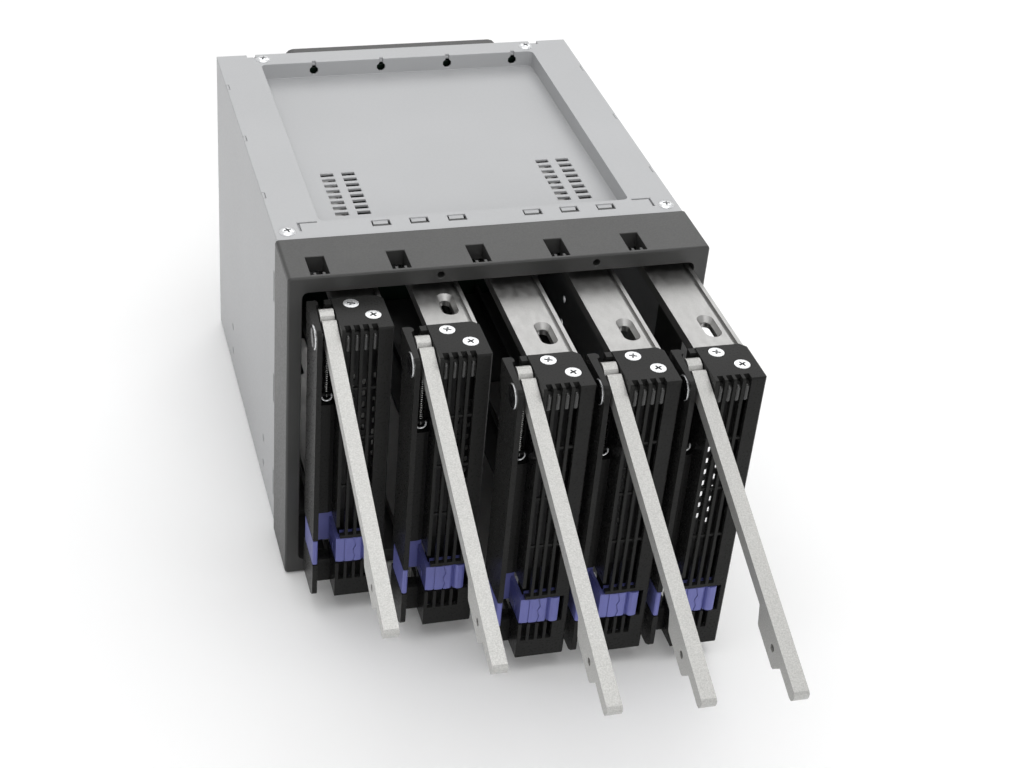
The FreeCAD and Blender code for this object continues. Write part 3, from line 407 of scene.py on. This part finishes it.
def box_of(node):
    """The lowest and the highest corner of a solid, in millimetres."""
    return [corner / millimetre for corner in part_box(node)]


def metre_mesh(name, build, materials, smooth_below=None):
    """Makes an object from mesh data in millimetres, smooth over edges below an angle in degrees."""
    mesh = bpy.data.meshes.new(name)
    build.to_mesh(mesh)
    build.free()
    mesh.transform(Matrix.Scale(millimetre, 4))
    for material in materials:
        mesh.materials.append(material)
    if smooth_below is not None:
        mesh.polygons.foreach_set("use_smooth", [True] * len(mesh.polygons))
        mesh.set_sharp_from_angle(angle=math.radians(smooth_below))
    return add_object(name, mesh)


def hand_to(piece, node):
    """The piece takes the node's place and its body."""
    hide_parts(node)
    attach(piece, next(body for body, held in body_nodes.items() if node in held))


print("bodies:", len(body_nodes))

# %% [markdown]
# ## Turned shapes
# A screw head or a rivet is turned on a lathe, so its mesh is made the same way: a half profile of a
# few points is spun round an axis. The profile goes from the axis out over the top and down the side.

# %% Spin a profile
turned_steps = 40


def spin(build, profile, centre, axis_turn=None):
    """Adds the profile (radius, height) spun about the upright axis through the centre."""
    turn = axis_turn or Matrix.Identity(3)
    rings = []
    for radius, height in profile:
        if radius == 0:
            rings.append([build.verts.new(turn @ Vector((0, 0, height)) + centre)])
            continue
        ring = []
        for step in range(turned_steps):
            angle = math.tau * step / turned_steps
            spot = Vector((radius * math.cos(angle), radius * math.sin(angle), height))
            ring.append(build.verts.new(turn @ spot + centre))
        rings.append(ring)
    for inner, outer in zip(rings, rings[1:]):
        for step in range(turned_steps):
            following = (step + 1) % turned_steps
            corners = [inner[step % len(inner)], outer[step % len(outer)],
                       outer[following % len(outer)], inner[following % len(inner)]]
            build.faces.new(list(dict.fromkeys(corners)))


print("a turned shape has", turned_steps, "steps")

# %% [markdown]
# ## Cross recesses
# A cross recess is two crossed slots that narrow as they go down. A painted cross would look flat from
# the side. Cutting the shape from a spun head by a boolean is simple and exact at this size. The
# cutter is a skin stretched from a small cross up to a larger one.

# %% Shape the cross cutter
cross_reach = 1.75
cross_half_width = 0.42
cross_depth = 0.8
cross_above = 0.5
cross_taper = 0.5


def skin(rings):
    """Mesh data of a closed skin stretched through rings of points that match one to one."""
    build = bmesh.new()
    levels = [[build.verts.new(point) for point in ring] for ring in rings]
    build.faces.new(list(reversed(levels[0])))
    build.faces.new(levels[-1])
    for near, far in zip(levels, levels[1:]):
        for step in range(len(near)):
            following = (step + 1) % len(near)
            build.faces.new((near[step], near[following], far[following], far[step]))
    bmesh.ops.recalc_face_normals(build, faces=build.faces[:])
    return build


def cross_cutter():
    """A tapered cross, wide at the top, that stands a little above the head."""
    corner = ((cross_half_width, cross_half_width), (cross_half_width, cross_reach),
              (-cross_half_width, cross_reach))
    quarters = [Matrix.Rotation(math.pi / 2 * quarter, 2) for quarter in range(4)]
    outline = [turn @ Vector(point) for turn in quarters for point in corner]
    low = [(p.x * cross_taper, p.y * cross_taper, -cross_depth) for p in outline]
    top = [(p.x, p.y, cross_above) for p in outline]
    return skin([low, top])


print("recess reaches", cross_reach, "mm from the middle")

# %% [markdown]
# ## Cutting the recess
# The walls of a recess look darker than the plated face, because little light gets in. That shade is
# painted: a boolean hands the cutter's material, a darker steel, to the faces that it makes, so the
# painted shade lands just there. The cut is made once, on a plain head, and the finished head is then
# copied to every screw.

# %% Cut the recess
# The darker steel of the recess walls is painted shade.
recess_painted_shade = plated_steel("recess_painted_shade", (0.36, 0.365, 0.37), roughness=0.4)
crown_curve = [(0, 1), (0.5, 0.9), (0.88, 0.55), (1, 0.1)]
rim_depth = 0.05


def scratch_object(name, build, material):
    """An object that is only needed while a boolean is worked out."""
    mesh = bpy.data.meshes.new(name)
    build.to_mesh(mesh)
    build.free()
    mesh.materials.append(material)
    return add_object(name, mesh)


def finished_mesh(thing):
    """The mesh of an object as its modifiers leave it."""
    return bpy.data.meshes.new_from_object(thing.evaluated_get(bpy.context.evaluated_depsgraph_get()))


def screw_head(radius, crown, cone, shank, length):
    """Mesh data of a spun screw with its crown at zero and the recess cut in it."""
    profile = [(radius * out, crown * up) for out, up in crown_curve]
    profile += [(radius, -rim_depth), (shank, -cone), (shank, -length), (0, -length)]
    build = bmesh.new()
    spin(build, [(out, height - crown) for out, height in profile], Vector((0, 0, 0)))
    bmesh.ops.recalc_face_normals(build, faces=build.faces[:])
    head = scratch_object("head_blank", build, slot_finishes["bright_steel"])
    cutter = scratch_object("head_cutter", cross_cutter(), recess_painted_shade)
    cut = head.modifiers.new("recess", "BOOLEAN")
    cut.operation = "DIFFERENCE"
    cut.solver = "EXACT"
    cut.object = cutter
    cut.material_mode = "TRANSFER"
    shaped = finished_mesh(head)
    for thing in (head, cutter):
        bpy.data.objects.remove(thing)
    return shaped


screw_crown = 0.15
tray_head = screw_head(radius=2.62, crown=screw_crown, cone=1.3, shank=1.4, length=4.0)
print("faces in a cut head:", len(tray_head.polygons))

# %% [markdown]
# ## Seats for screws
# Every screw already has a place, because the CAD node of a set of screws has one loose body for each
# screw. The places could be typed in again, but measuring the bodies keeps the heads where the solids
# have them. Each head is turned to a different angle, as real ones end up, and by a fixed step, so
# that every run is the same.

# %% Find the seats
facing_up = Matrix.Identity(4)
facing_down = Matrix.Rotation(math.pi, 4, "X")
facing_back = Matrix.Rotation(-math.pi / 2, 4, "X")
first_turn = 0.35
turn_step = 0.85


def body_boxes(node):
    """Lowest and highest corner, in millimetres, of each loose body of a node, in a fixed order."""
    build = bmesh.new()
    build.from_mesh(nodes[node].data)
    bmesh.ops.remove_doubles(build, verts=build.verts[:], dist=weld_distance)
    left = set(build.verts)
    boxes = []
    while left:
        group = [left.pop()]
        for vert in group:
            for edge in vert.link_edges:
                other = edge.other_vert(vert)
                if other in left:
                    left.discard(other)
                    group.append(other)
        low = Vector([min(v.co[i] for v in group) for i in range(3)]) / millimetre
        high = Vector([max(v.co[i] for v in group) for i in range(3)]) / millimetre
        boxes.append((low, high))
    build.free()
    return sorted(boxes, key=lambda pair: [round(c, 2) for c in pair[0]])


def add_to(build, extra):
    """Moves the mesh data of extra into build."""
    carrier = bpy.data.meshes.new("carrier")
    extra.to_mesh(carrier)
    extra.free()
    build.from_mesh(carrier)
    bpy.data.meshes.remove(carrier)


def seat_heads(name, head, seats):
    """Copies a head to each seat (place in millimetres, facing), turned a little further each time."""
    build = bmesh.new()
    for i, (place, facing) in enumerate(seats):
        copy = bmesh.new()
        copy.from_mesh(head)
        turned = Matrix.Rotation(first_turn + turn_step * i, 4, "Z")
        copy.transform(Matrix.Translation(place) @ facing @ turned)
        add_to(build, copy)
    return metre_mesh(name, build, [slot_finishes["bright_steel"], recess_painted_shade], smooth_below=35)


print("screws in the cover:", len(body_boxes("housing_screws")))

# %% [markdown]
# ## Tray screws
# Two countersunk screws hold the rail in the tray's cap and one holds the lower rail. Their heads are
# nearly flush, so the profile is a thin lens on a cone. The upper ones face up and the lower one faces
# down, which is told from the side of the tray's middle on which they lie.

# %% Seat the tray screws
for number in tray_numbers:
    node = f"tray_{number}_screws"
    bottom, top = box_of(node)
    middle_height = (bottom.z + top.z) / 2
    seats = []
    for low, high in body_boxes(node):
        points_up = low.z > middle_height
        height = high.z + screw_crown if points_up else low.z - screw_crown
        facing = facing_up if points_up else facing_down
        seats.append((Vector(((low.x + high.x) / 2, (low.y + high.y) / 2, height)), facing))
    screws = seat_heads(f"tray_screws_{number}", tray_head, seats)
    hand_to(screws, node)
print("screws seated on", len(tray_numbers), "trays, on each:", len(seats))

# %% [markdown]
# ## Cover screws
# The cover is held by four small screws whose pan heads stand on the sheet. A pan head is the same
# profile with a high crown and hardly any cone, so the recipe for the countersunk head serves again.

# %% Seat the cover screws
cover_head = screw_head(radius=2.9, crown=0.9, cone=0.2, shank=1.4, length=2.6)
seats = []
for low, high in body_boxes("housing_screws"):
    seats.append((Vector(((low.x + high.x) / 2, (low.y + high.y) / 2, high.z)), facing_up))
cover_screws = seat_heads("cover_screws", cover_head, seats)
hand_to(cover_screws, "housing_screws")
print("cover screws:", len(seats))

# %% [markdown]
# ## Fan screws
# The fan and its guard are held by four long screws with broad heads. They face the rear, so the head
# is laid over by a quarter turn before it is seated, and its shank runs through the fan's frame.

# %% Seat the fan screws
fan_head = screw_head(radius=3.9, crown=1.9, cone=0.2, shank=1.9, length=26.0)
seats = []
for low, high in body_boxes("fan_screws"):
    place = Vector(((low.x + high.x) / 2, high.y, (low.z + high.z) / 2))
    seats.append((place, facing_back))
fan_screw_places = [place for place, facing in seats]
fan_screws = seat_heads("fan_heads", fan_head, seats)
hand_to(fan_screws, "fan_screws")
print("fan screws:", len(seats))

# %% [markdown]
# ## Bent wire
# Springs and guards are bent from round wire. A mesh of a wire needs a ring of points at every step. A
# curve with a round bevel needs only the points of its middle line, and Blender draws the wire round
# them, so every wire here is a curve.

# %% Helpers for wire
def arc_angles(first, sweep, steps):
    """Angles in radians along a bend whose start and sweep are given in degrees."""
    return [math.radians(first + sweep * step / steps) for step in range(steps + 1)]


def wire_piece(name, runs, radius, material):
    """A round wire bent along each run (path in millimetres, closed or open)."""
    curve = bpy.data.curves.new(name, "CURVE")
    curve.dimensions = "3D"
    curve.bevel_depth = radius * millimetre
    curve.bevel_resolution = 2
    curve.use_fill_caps = True
    for path, closed in runs:
        spline = curve.splines.new("POLY")
        spline.points.add(len(path) - 1)
        spline.use_cyclic_u = closed
        for point, place in zip(spline.points, path):
            point.co = (*(place * millimetre), 1)
    curve.materials.append(material)
    return add_object(name, curve)


print("a quarter bend in 15 degree steps has", len(arc_angles(0, 90, 6)), "points")

# %% [markdown]
# ## Lever springs
# Each lever is pulled open by a small extension spring. In CAD its coils are one plain bar. Here the
# points of the wire go round the spring's axis as they climb. The lower end hooks round the post, and
# the upper end passes through the lever's lug.

# %% Follow the coils
coil_radius = 0.88
coil_pitch = 0.85
points_per_turn = 14
coil_from_hook = 1.5
hook_radius = 0.95
hook_bend = arc_angles(150, 210, 15)
eye_half_width = 0.9
eye_half_height = 0.75
eye_bend = arc_angles(-90, 330, 15)


def wound_spring(post, eye):
    """The wire's path in millimetres, from the open end under the post to the end at the lug."""
    path = [post + Vector((0, math.cos(a), math.sin(a))) * hook_radius for a in hook_bend]
    low = post.z + coil_from_hook
    high = eye.z - coil_from_hook
    steps = int((high - low) / coil_pitch * points_per_turn)
    for step in range(steps + 1):
        angle = math.tau * step / points_per_turn
        share = step / steps
        middle = post.lerp(eye, share)
        path.append(Vector((middle.x + coil_radius * math.sin(angle),
                            middle.y + coil_radius * math.cos(angle), low + (high - low) * share)))
    for a in eye_bend:
        path.append(eye + Vector((eye_half_width * math.cos(a), 0, eye_half_height * (math.sin(a) - 1))))
    return path


print("coils climb", coil_pitch, "mm a turn")

# %% [markdown]
# ## Spring hooks
# Under each spring a bright open hook in the shape of a J holds it to its post. Its wire is thicker
# than the coils', and it lies in front of them. It could be the end of the same curve, but as a bend
# of its own it can be bright while the coils stay dark.

# %% Wind the springs
spring_steel = plated_steel("spring_steel", (0.34, 0.34, 0.33), roughness=0.25)
wire_radius = 0.25
post_above_foot = 1.2
eye_below_top = 0.25
big_hook_wire = 0.32
big_hook_reach = 1.7
big_hook_forward = 1.3
big_hook_bend = arc_angles(35, -215, 20)


def big_hook(post):
    """The path of the bright open hook, seen from the front as a J."""
    path = []
    for a in big_hook_bend:
        path.append(post + Vector((big_hook_reach * math.cos(a), -big_hook_forward,
                                   big_hook_reach * math.sin(a))))
    return path


for number in tray_numbers:
    node = f"tray_{number}_lever_spring"
    low, high = box_of(node)
    middle = (low + high) / 2
    post = Vector((middle.x, middle.y, low.z + post_above_foot))
    eye = Vector((middle.x, middle.y, high.z - eye_below_top))
    coil_run = [(wound_spring(post, eye), False)]
    coils = wire_piece(f"spring_coils_{number}", coil_run, wire_radius, spring_steel)
    hand_to(coils, node)
    hook_run = [(big_hook(post), False)]
    hook = wire_piece(f"spring_hook_{number}", hook_run, big_hook_wire, slot_finishes["bright_steel"])
    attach(hook, f"tray_{number}")
print("springs wound:", len(tray_numbers))

# %% [markdown]
# ## Fan guard
# A finger guard is welded from round wire: rings one inside the other, carried by four radial wires that
# end in eyes under the screws. The solid keeps one ring and four legs. Here each ring, leg and eye is a
# run of the same curve, and the legs are aimed at the screws that were seated before.

# %% Bend the guard
guard_rings = [11.0, 20.5, 31.0, 40.0]
guard_wire = 0.6
eye_radius = 3.2
ring_steps = 72


def flat_ring(centre, radius):
    """The path of a ring that stands upright and faces the rear."""
    ring = []
    for step in range(ring_steps):
        angle = math.tau * step / ring_steps
        ring.append(centre + Vector((radius * math.cos(angle), 0, radius * math.sin(angle))))
    return ring


low, high = box_of("fan_guard")
centre = (low + high) / 2
runs = [(flat_ring(centre, radius), True) for radius in guard_rings]
for place in fan_screw_places:
    corner = Vector((place.x, centre.y, place.z))
    outward = (corner - centre).normalized()
    runs.append(([centre + outward * guard_rings[0], corner - outward * eye_radius], False))
    runs.append((flat_ring(corner, eye_radius), True))
guard = wire_piece("wire_guard", runs, guard_wire, slot_finishes["bright_steel"])
hand_to(guard, "fan_guard")
print("guard rings:", len(guard_rings), "legs:", len(fan_screw_places))

# %% [markdown]
# ## Air screens
# Behind each grille hangs a thin sheet with rows of small upright holes, and light from behind shines
# through them as short dashes. Each hole could be cut by a boolean, but a flat curve is lighter. It
# fills only what lies between its outlines, so one for the sheet and one for each hole are enough.

# %% Outline the holes
hole_wide = 1.2
hole_tall = 2.6
hole_corner = 0.3
hole_pitch_up = 4.7
hole_columns = [1.2, 4.95, 8.7, 12.45]
screen_border = 16.0


def loop_of(curve, corners):
    """Adds a closed outline through corners given in millimetres."""
    spline = curve.splines.new("POLY")
    spline.points.add(len(corners) - 1)
    spline.use_cyclic_u = True
    for point, (x, z) in zip(spline.points, corners):
        point.co = (x * millimetre, z * millimetre, 0, 1)


def oblong_hole(x, z):
    """A small hole with its corners cut off."""
    wide = hole_wide / 2
    tall = hole_tall / 2
    cut = hole_corner
    return [(x - wide, z - tall + cut), (x - wide + cut, z - tall), (x + wide - cut, z - tall),
            (x + wide, z - tall + cut), (x + wide, z + tall - cut), (x + wide - cut, z + tall),
            (x - wide + cut, z + tall), (x - wide, z + tall - cut)]


print("a hole is", hole_wide, "by", hole_tall, "mm")

# %% [markdown]
# ## Punching the screens
# Every second column of holes is half a pitch higher, which leaves more metal between the holes. A
# curve is filled only in its own plane, so it is drawn lying down, made into a mesh and stood up.

# %% Punch the screens
def punched_sheet(name, low, high, material):
    """A thin upright sheet between two corners, punched, and how many holes it has."""
    curve = bpy.data.curves.new(name, "CURVE")
    curve.dimensions = "2D"
    curve.fill_mode = "BOTH"
    curve.extrude = (high.y - low.y) / 2 * millimetre
    loop_of(curve, [(low.x, low.z), (high.x, low.z), (high.x, high.z), (low.x, high.z)])
    count = 0
    for column, from_edge in enumerate(hole_columns):
        z = low.z + screen_border + (column % 2) * hole_pitch_up / 2
        while z + screen_border < high.z:
            loop_of(curve, oblong_hole(low.x + from_edge, z))
            z += hole_pitch_up
            count += 1
    flat = add_object("flat_sheet", curve)
    mesh = finished_mesh(flat)
    bpy.data.objects.remove(flat)
    mesh.transform(Matrix.Rotation(math.pi / 2, 4, "X"))
    mesh.transform(Matrix.Translation((0, (low.y + high.y) / 2 * millimetre, 0)))
    mesh.materials.clear()
    mesh.materials.append(material)
    return add_object(name, mesh), count


for number in tray_numbers:
    node = f"tray_{number}_air_screen"
    low, high = box_of(node)
    sheet, count = punched_sheet(f"punched_screen_{number}", low, high, slot_finishes["screen_sheet"])
    hand_to(sheet, node)
print("holes in each screen:", count)

# %% [markdown]
# ## Pin heads
# The lever turns on a rivet whose broad head shows on the tray's left ear. Its face is blackened and
# glossy, and a bright crescent shows on its rim. A plain disc would have no crescent, so the head is
# spun with a rounded rim and a shallow dish, and its rim gets the second material, a bright steel that
# is painted highlight for the crescent.

# %% Turn the pins
head_radius = 4.2
head_thickness = 0.5
dish_depth = 0.18
# Each point of the face is so far in from the rim and so far below the top.
face_points = [(1.3, dish_depth), (0.9, 0.02), (0.55, 0), (0.2, 0.08), (0, 0.3)]
painted_highlight_rim = 0.3
pin_radius = 1.5
along_x = Matrix.Rotation(-math.pi / 2, 3, "Y")


def glossy_black():
    black = finish("blackened_pin", (0.02, 0.02, 0.021), roughness=0.16, metallic=0.6, gloss=0.8)
    vary_roughness(black, noise_at(black, scale=900), low=0.12, high=0.22)
    raise_grain(black, noise_at(black, scale=2400), depth_mm=0.004, strength=0.4)
    return black


def pin_profile(length):
    """From the middle of the dish, over the rim, to the far end of the pin."""
    face = [(head_radius - inward, -below) for inward, below in face_points]
    return [(0, -dish_depth)] + face + [(head_radius, -head_thickness), (pin_radius, -head_thickness),
                                        (pin_radius, -length), (0, -length)]


pin_finishes = [glossy_black(), slot_finishes["bright_steel"]]
for number in tray_numbers:
    node = f"tray_{number}_pivot_pin"
    low, high = box_of(node)
    centre = Vector((low.x, (low.y + high.y) / 2, (low.z + high.z) / 2))
    build = bmesh.new()
    spin(build, pin_profile(high.x - low.x), centre, along_x)
    bmesh.ops.recalc_face_normals(build, faces=build.faces[:])
    # Faces near the rim get the bright steel, a painted highlight that the lamps shape into a crescent.
    for face in build.faces:
        spot = face.calc_center_median() - centre
        if math.hypot(spot.y, spot.z) > head_radius - painted_highlight_rim:
            face.material_index = 1
    pin = metre_mesh(f"rivet_{number}", build, pin_finishes, smooth_below=40)
    hand_to(pin, node)
print("pins turned:", len(tray_numbers))

# %% [markdown]
# ## Upper rails
# The rails are bright bars with a groove, a lip and two countersunk slots that take the drive's screws.
# The solid rails have sinks made of flats. Here the same bar is drawn again from its section, at the
# sizes of the CAD rail, so that its sinks can be round and their rims can catch the light.

# %% Draw the bar
lip_width = 1.3
lip_height = 0.5
groove_width = 1.1
groove_depth = 0.8
tongue_long = 16.3


def rail_bar(low, high):
    """The bar's section run along Y, without the narrower tongue in front of it."""
    top = high.z - lip_height
    lip_left = high.x - lip_width
    groove_left = lip_left - groove_width
    groove_floor = top - groove_depth
    section = [(low.x, low.z), (high.x, low.z), (high.x, high.z), (lip_left, high.z),
               (lip_left, groove_floor), (groove_left, groove_floor), (groove_left, top), (low.x, top)]
    front = low.y + tongue_long
    return skin([[(x, y, z) for x, z in section] for y in (front, high.y)])


print("the bar starts", tongue_long, "mm behind the tongue's tip")

# %% [markdown]
# ## Countersunk slots
# A slot that is sunk for a screw head narrows from a wide oblong to a small one. Its sink could be
# bevelled on the slot's edge, but a skin stretched through oblong rings of different sizes makes the
# whole cutter at once. The round screw holes are the same shape with hardly any length.

# %% Shape the slot cutters
slot_wide, slot_long = 3.6, 9.6
sink_wide, sink_long, sink_depth = 5.8, 13.4, 1.7
rail_screw_radius = 1.5
nearly_round = 0.01
overshoot = 1.0
arc_steps = 14


def oblong_ring(x, y, wide, long):
    """Points round a slot with round ends that lies along Y."""
    reach = (long - wide) / 2
    ring = []
    for side in (1, -1):
        for step in range(arc_steps + 1):
            angle = math.pi * step / arc_steps + (0 if side > 0 else math.pi)
            ring.append((x + wide / 2 * math.cos(angle), y + side * reach + wide / 2 * math.sin(angle)))
    return ring


def loft(levels):
    """A skin through level rings, each given as (ring, height)."""
    return skin([[(x, y, height) for x, y in ring] for ring, height in levels])


def slot_cutter(x, y, bottom, top):
    narrow = oblong_ring(x, y, slot_wide, slot_long)
    wide = oblong_ring(x, y, sink_wide, sink_long)
    return loft([(narrow, bottom - overshoot), (narrow, top - sink_depth),
                 (wide, top), (wide, top + overshoot)])


def hole_cutter(x, y, bottom, top):
    wide = 2 * rail_screw_radius
    hole = oblong_ring(x, y, wide, wide + nearly_round)
    return loft([(hole, bottom - overshoot), (hole, top + overshoot)])


print("a cutter's ring has", len(oblong_ring(0, 0, slot_wide, slot_long)), "points")

# %% [markdown]
# ## Joining and cutting
# The tongue is a plain block that is joined to the bar before the slots are cut. The outline of the
# whole could be drawn in one go, but a block and a bar are simpler to read, and a boolean leaves no
# seam between them.

# %% Draw the rails
slot_from_right = 6.7
slots_from_rear = [22.0, 123.6]
rail_screws = [(5.1, 12.5), (11.0, 4.7)]
tongue_inset = 0.1
tongue_overlap = 1.0
rail_edge = 0.15


def block(low, high):
    """Mesh data of a plain block between two corners."""
    build = bmesh.new()
    bmesh.ops.create_cube(build, size=1)
    size = Vector(high) - Vector(low)
    middle = (Vector(high) + Vector(low)) / 2
    bmesh.ops.scale(build, vec=size, verts=build.verts[:])
    bmesh.ops.translate(build, vec=middle, verts=build.verts[:])
    return build


def combine(build, joins, cutters, material):
    """Joins and cuts mesh data with booleans and returns the new mesh data."""
    base = scratch_object("base", build, material)
    others = []
    for operation, shapes in (("UNION", joins), ("DIFFERENCE", cutters)):
        for shape in shapes:
            other = scratch_object("other", shape, material)
            change = base.modifiers.new(operation, "BOOLEAN")
            change.operation = operation
            change.solver = "EXACT"
            change.object = other
            others.append(other)
    done = finished_mesh(base)
    for thing in [base] + others:
        bpy.data.objects.remove(thing)
    result = bmesh.new()
    result.from_mesh(done)
    bpy.data.meshes.remove(done)
    return result


rail_metal = slot_finishes["rail_metal"]
for number in tray_numbers:
    node = f"tray_{number}_upper_rail"
    low, high = box_of(node)
    top = high.z - lip_height
    tongue_left = box_of(f"tray_{number}_air_screen")[0].x + tongue_inset
    tongue_right = high.x - lip_width - groove_width
    tongue = block((tongue_left, low.y, low.z),
                   (tongue_right, low.y + tongue_long + tongue_overlap, top))
    cutters = [slot_cutter(high.x - slot_from_right, high.y - y, low.z, top) for y in slots_from_rear]
    cutters += [hole_cutter(low.x + x, low.y + y, low.z, top) for x, y in rail_screws]
    shaped = combine(rail_bar(low, high), [tongue], cutters, rail_metal)
    rail = metre_mesh(f"drawn_rail_{number}", shaped, [rail_metal], smooth_below=30)
    soften(rail, rail_edge)
    hand_to(rail, node)
print("rails drawn:", len(tray_numbers))

# %% [markdown]
# ## Rounded bars in the grille
# Below its notch each slit is closed by a small rounded bar, and the row of them glints at the top of
# every grille. The solid has one plain bar behind all four slits. A capsule in each slit, spun from a
# rounded profile and sunk in that bar, gives the glint.

# %% Fill the tops of the slits
peg_plastic = grained_plastic("peg_plastic", (0.022, 0.022, 0.0215), roughness=0.3, gloss=0.6)
slit_wide = 1.9
slit_from_right = 5.15 + slit_wide / 2
slit_pitch = 3.0
slit_count = 4
bar_radius = 0.93
bar_top = 2.45
bar_bottom = 8.7
bar_front = 0.05
bar_bend = arc_angles(0, 90, 6)


def capsule_profile(top, bottom):
    """Half section of an upright bar with round ends."""
    upper = [(bar_radius * math.sin(a), top - bar_radius * (1 - math.cos(a))) for a in bar_bend]
    lower = [(bar_radius * math.cos(a), bottom + bar_radius * (1 - math.sin(a))) for a in bar_bend]
    lower[-1] = (0, lower[-1][1])
    return upper + lower


for number in tray_numbers:
    low, high = box_of(f"tray_{number}_front")
    build = bmesh.new()
    for i in range(slit_count):
        foot = Vector((high.x - slit_from_right - i * slit_pitch, low.y + bar_front + bar_radius, 0))
        spin(build, capsule_profile(high.z - bar_top, high.z - bar_bottom), foot)
    bmesh.ops.recalc_face_normals(build, faces=build.faces[:])
    bars = metre_mesh(f"slit_bars_{number}", build, [peg_plastic], smooth_below=40)
    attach(bars, f"tray_{number}")
print("bars in each grille:", slit_count)

# %% [markdown]
# ## Dark sheets behind the lower slits
# Below the air screen a plain dark sheet closes the front, so nothing bright shows through the slits
# round the latch. It is painted shade: it stands in for the shade inside the tray. It stops short of
# the latch's flank, which moves sideways beside it. A second sheet, painted shade too, closes the gap
# behind the spring's channel. Both are flat and half hidden, so a block each does.

# %% Close the lower slits
shade_sheet_setback = 1.2
shade_sheet_thickness = 0.8
shade_sheet_overlap = 2.0
shade_sheet_edge = 0.2
flank_room = 1.1
rail_room = 3.9
shade_left = 7.7
shade_right = 1.7
shade_setback = 3.1
shade_low = 44.0
shade_high = 111.0


def set_shade_sheet(name, low, high, number):
    """A thin dark sheet in a tray, between two corners, that stands in for shade."""
    shade_sheet = metre_mesh(name, block(low, high), [slot_finishes["tray_plastic"]])
    soften(shade_sheet, shade_sheet_edge)
    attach(shade_sheet, f"tray_{number}")


# Both sheets are painted shade, not parts of the tray.
for number in tray_numbers:
    screen_low, screen_high = box_of(f"tray_{number}_air_screen")
    rail_top = box_of(f"tray_{number}_lower_rail")[0].z + rail_room + lip_height
    shade_sheet_front = screen_high.y + shade_sheet_setback
    set_shade_sheet(f"front_shade_sheet_{number}", (screen_low.x + flank_room, shade_sheet_front, rail_top),
             (screen_high.x, shade_sheet_front + shade_sheet_thickness, screen_low.z + shade_sheet_overlap), number)
    shade_front = screen_high.y + shade_setback
    set_shade_sheet(f"channel_shade_sheet_{number}", (screen_low.x - shade_left, shade_front, shade_low),
             (screen_low.x + shade_right, shade_front + shade_sheet_thickness, shade_high), number)
print("walls set:", 2 * len(tray_numbers))

# %% [markdown]
# ## Sprung tabs in the cover's windows
# In each of the cover's six front windows a small tab of the same painted steel bends down behind the
# bezel's hook. Only its upper face shows, so each is a thin plate whose front edge is pushed down.

# %% Bend the window tabs
tab_half_width = 2.6
tab_front = 33.1
tab_rear = 34.85
tab_thickness = 0.3
tab_below_cover = 0.35
tab_slope = 0.3
window_groups = [-21.9, 32.9]
window_pitch = 13.6
tab_top = box_of("top_cover")[1].z - tab_below_cover


def sloping_tab(x):
    plate = block((x - tab_half_width, tab_front, tab_top - tab_thickness),
                  (x + tab_half_width, tab_rear, tab_top))
    for vert in plate.verts:
        if vert.co.y < (tab_front + tab_rear) / 2:
            vert.co.z -= tab_slope
    return plate


build = bmesh.new()
tab_places = [group + step * window_pitch for group in window_groups for step in (-1, 0, 1)]
for x in tab_places:
    add_to(build, sloping_tab(x))
tabs = metre_mesh("window_tabs", build, [slot_finishes["housing_paint"]])
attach(tabs, "cage")
print("tabs bent:", len(tab_places))
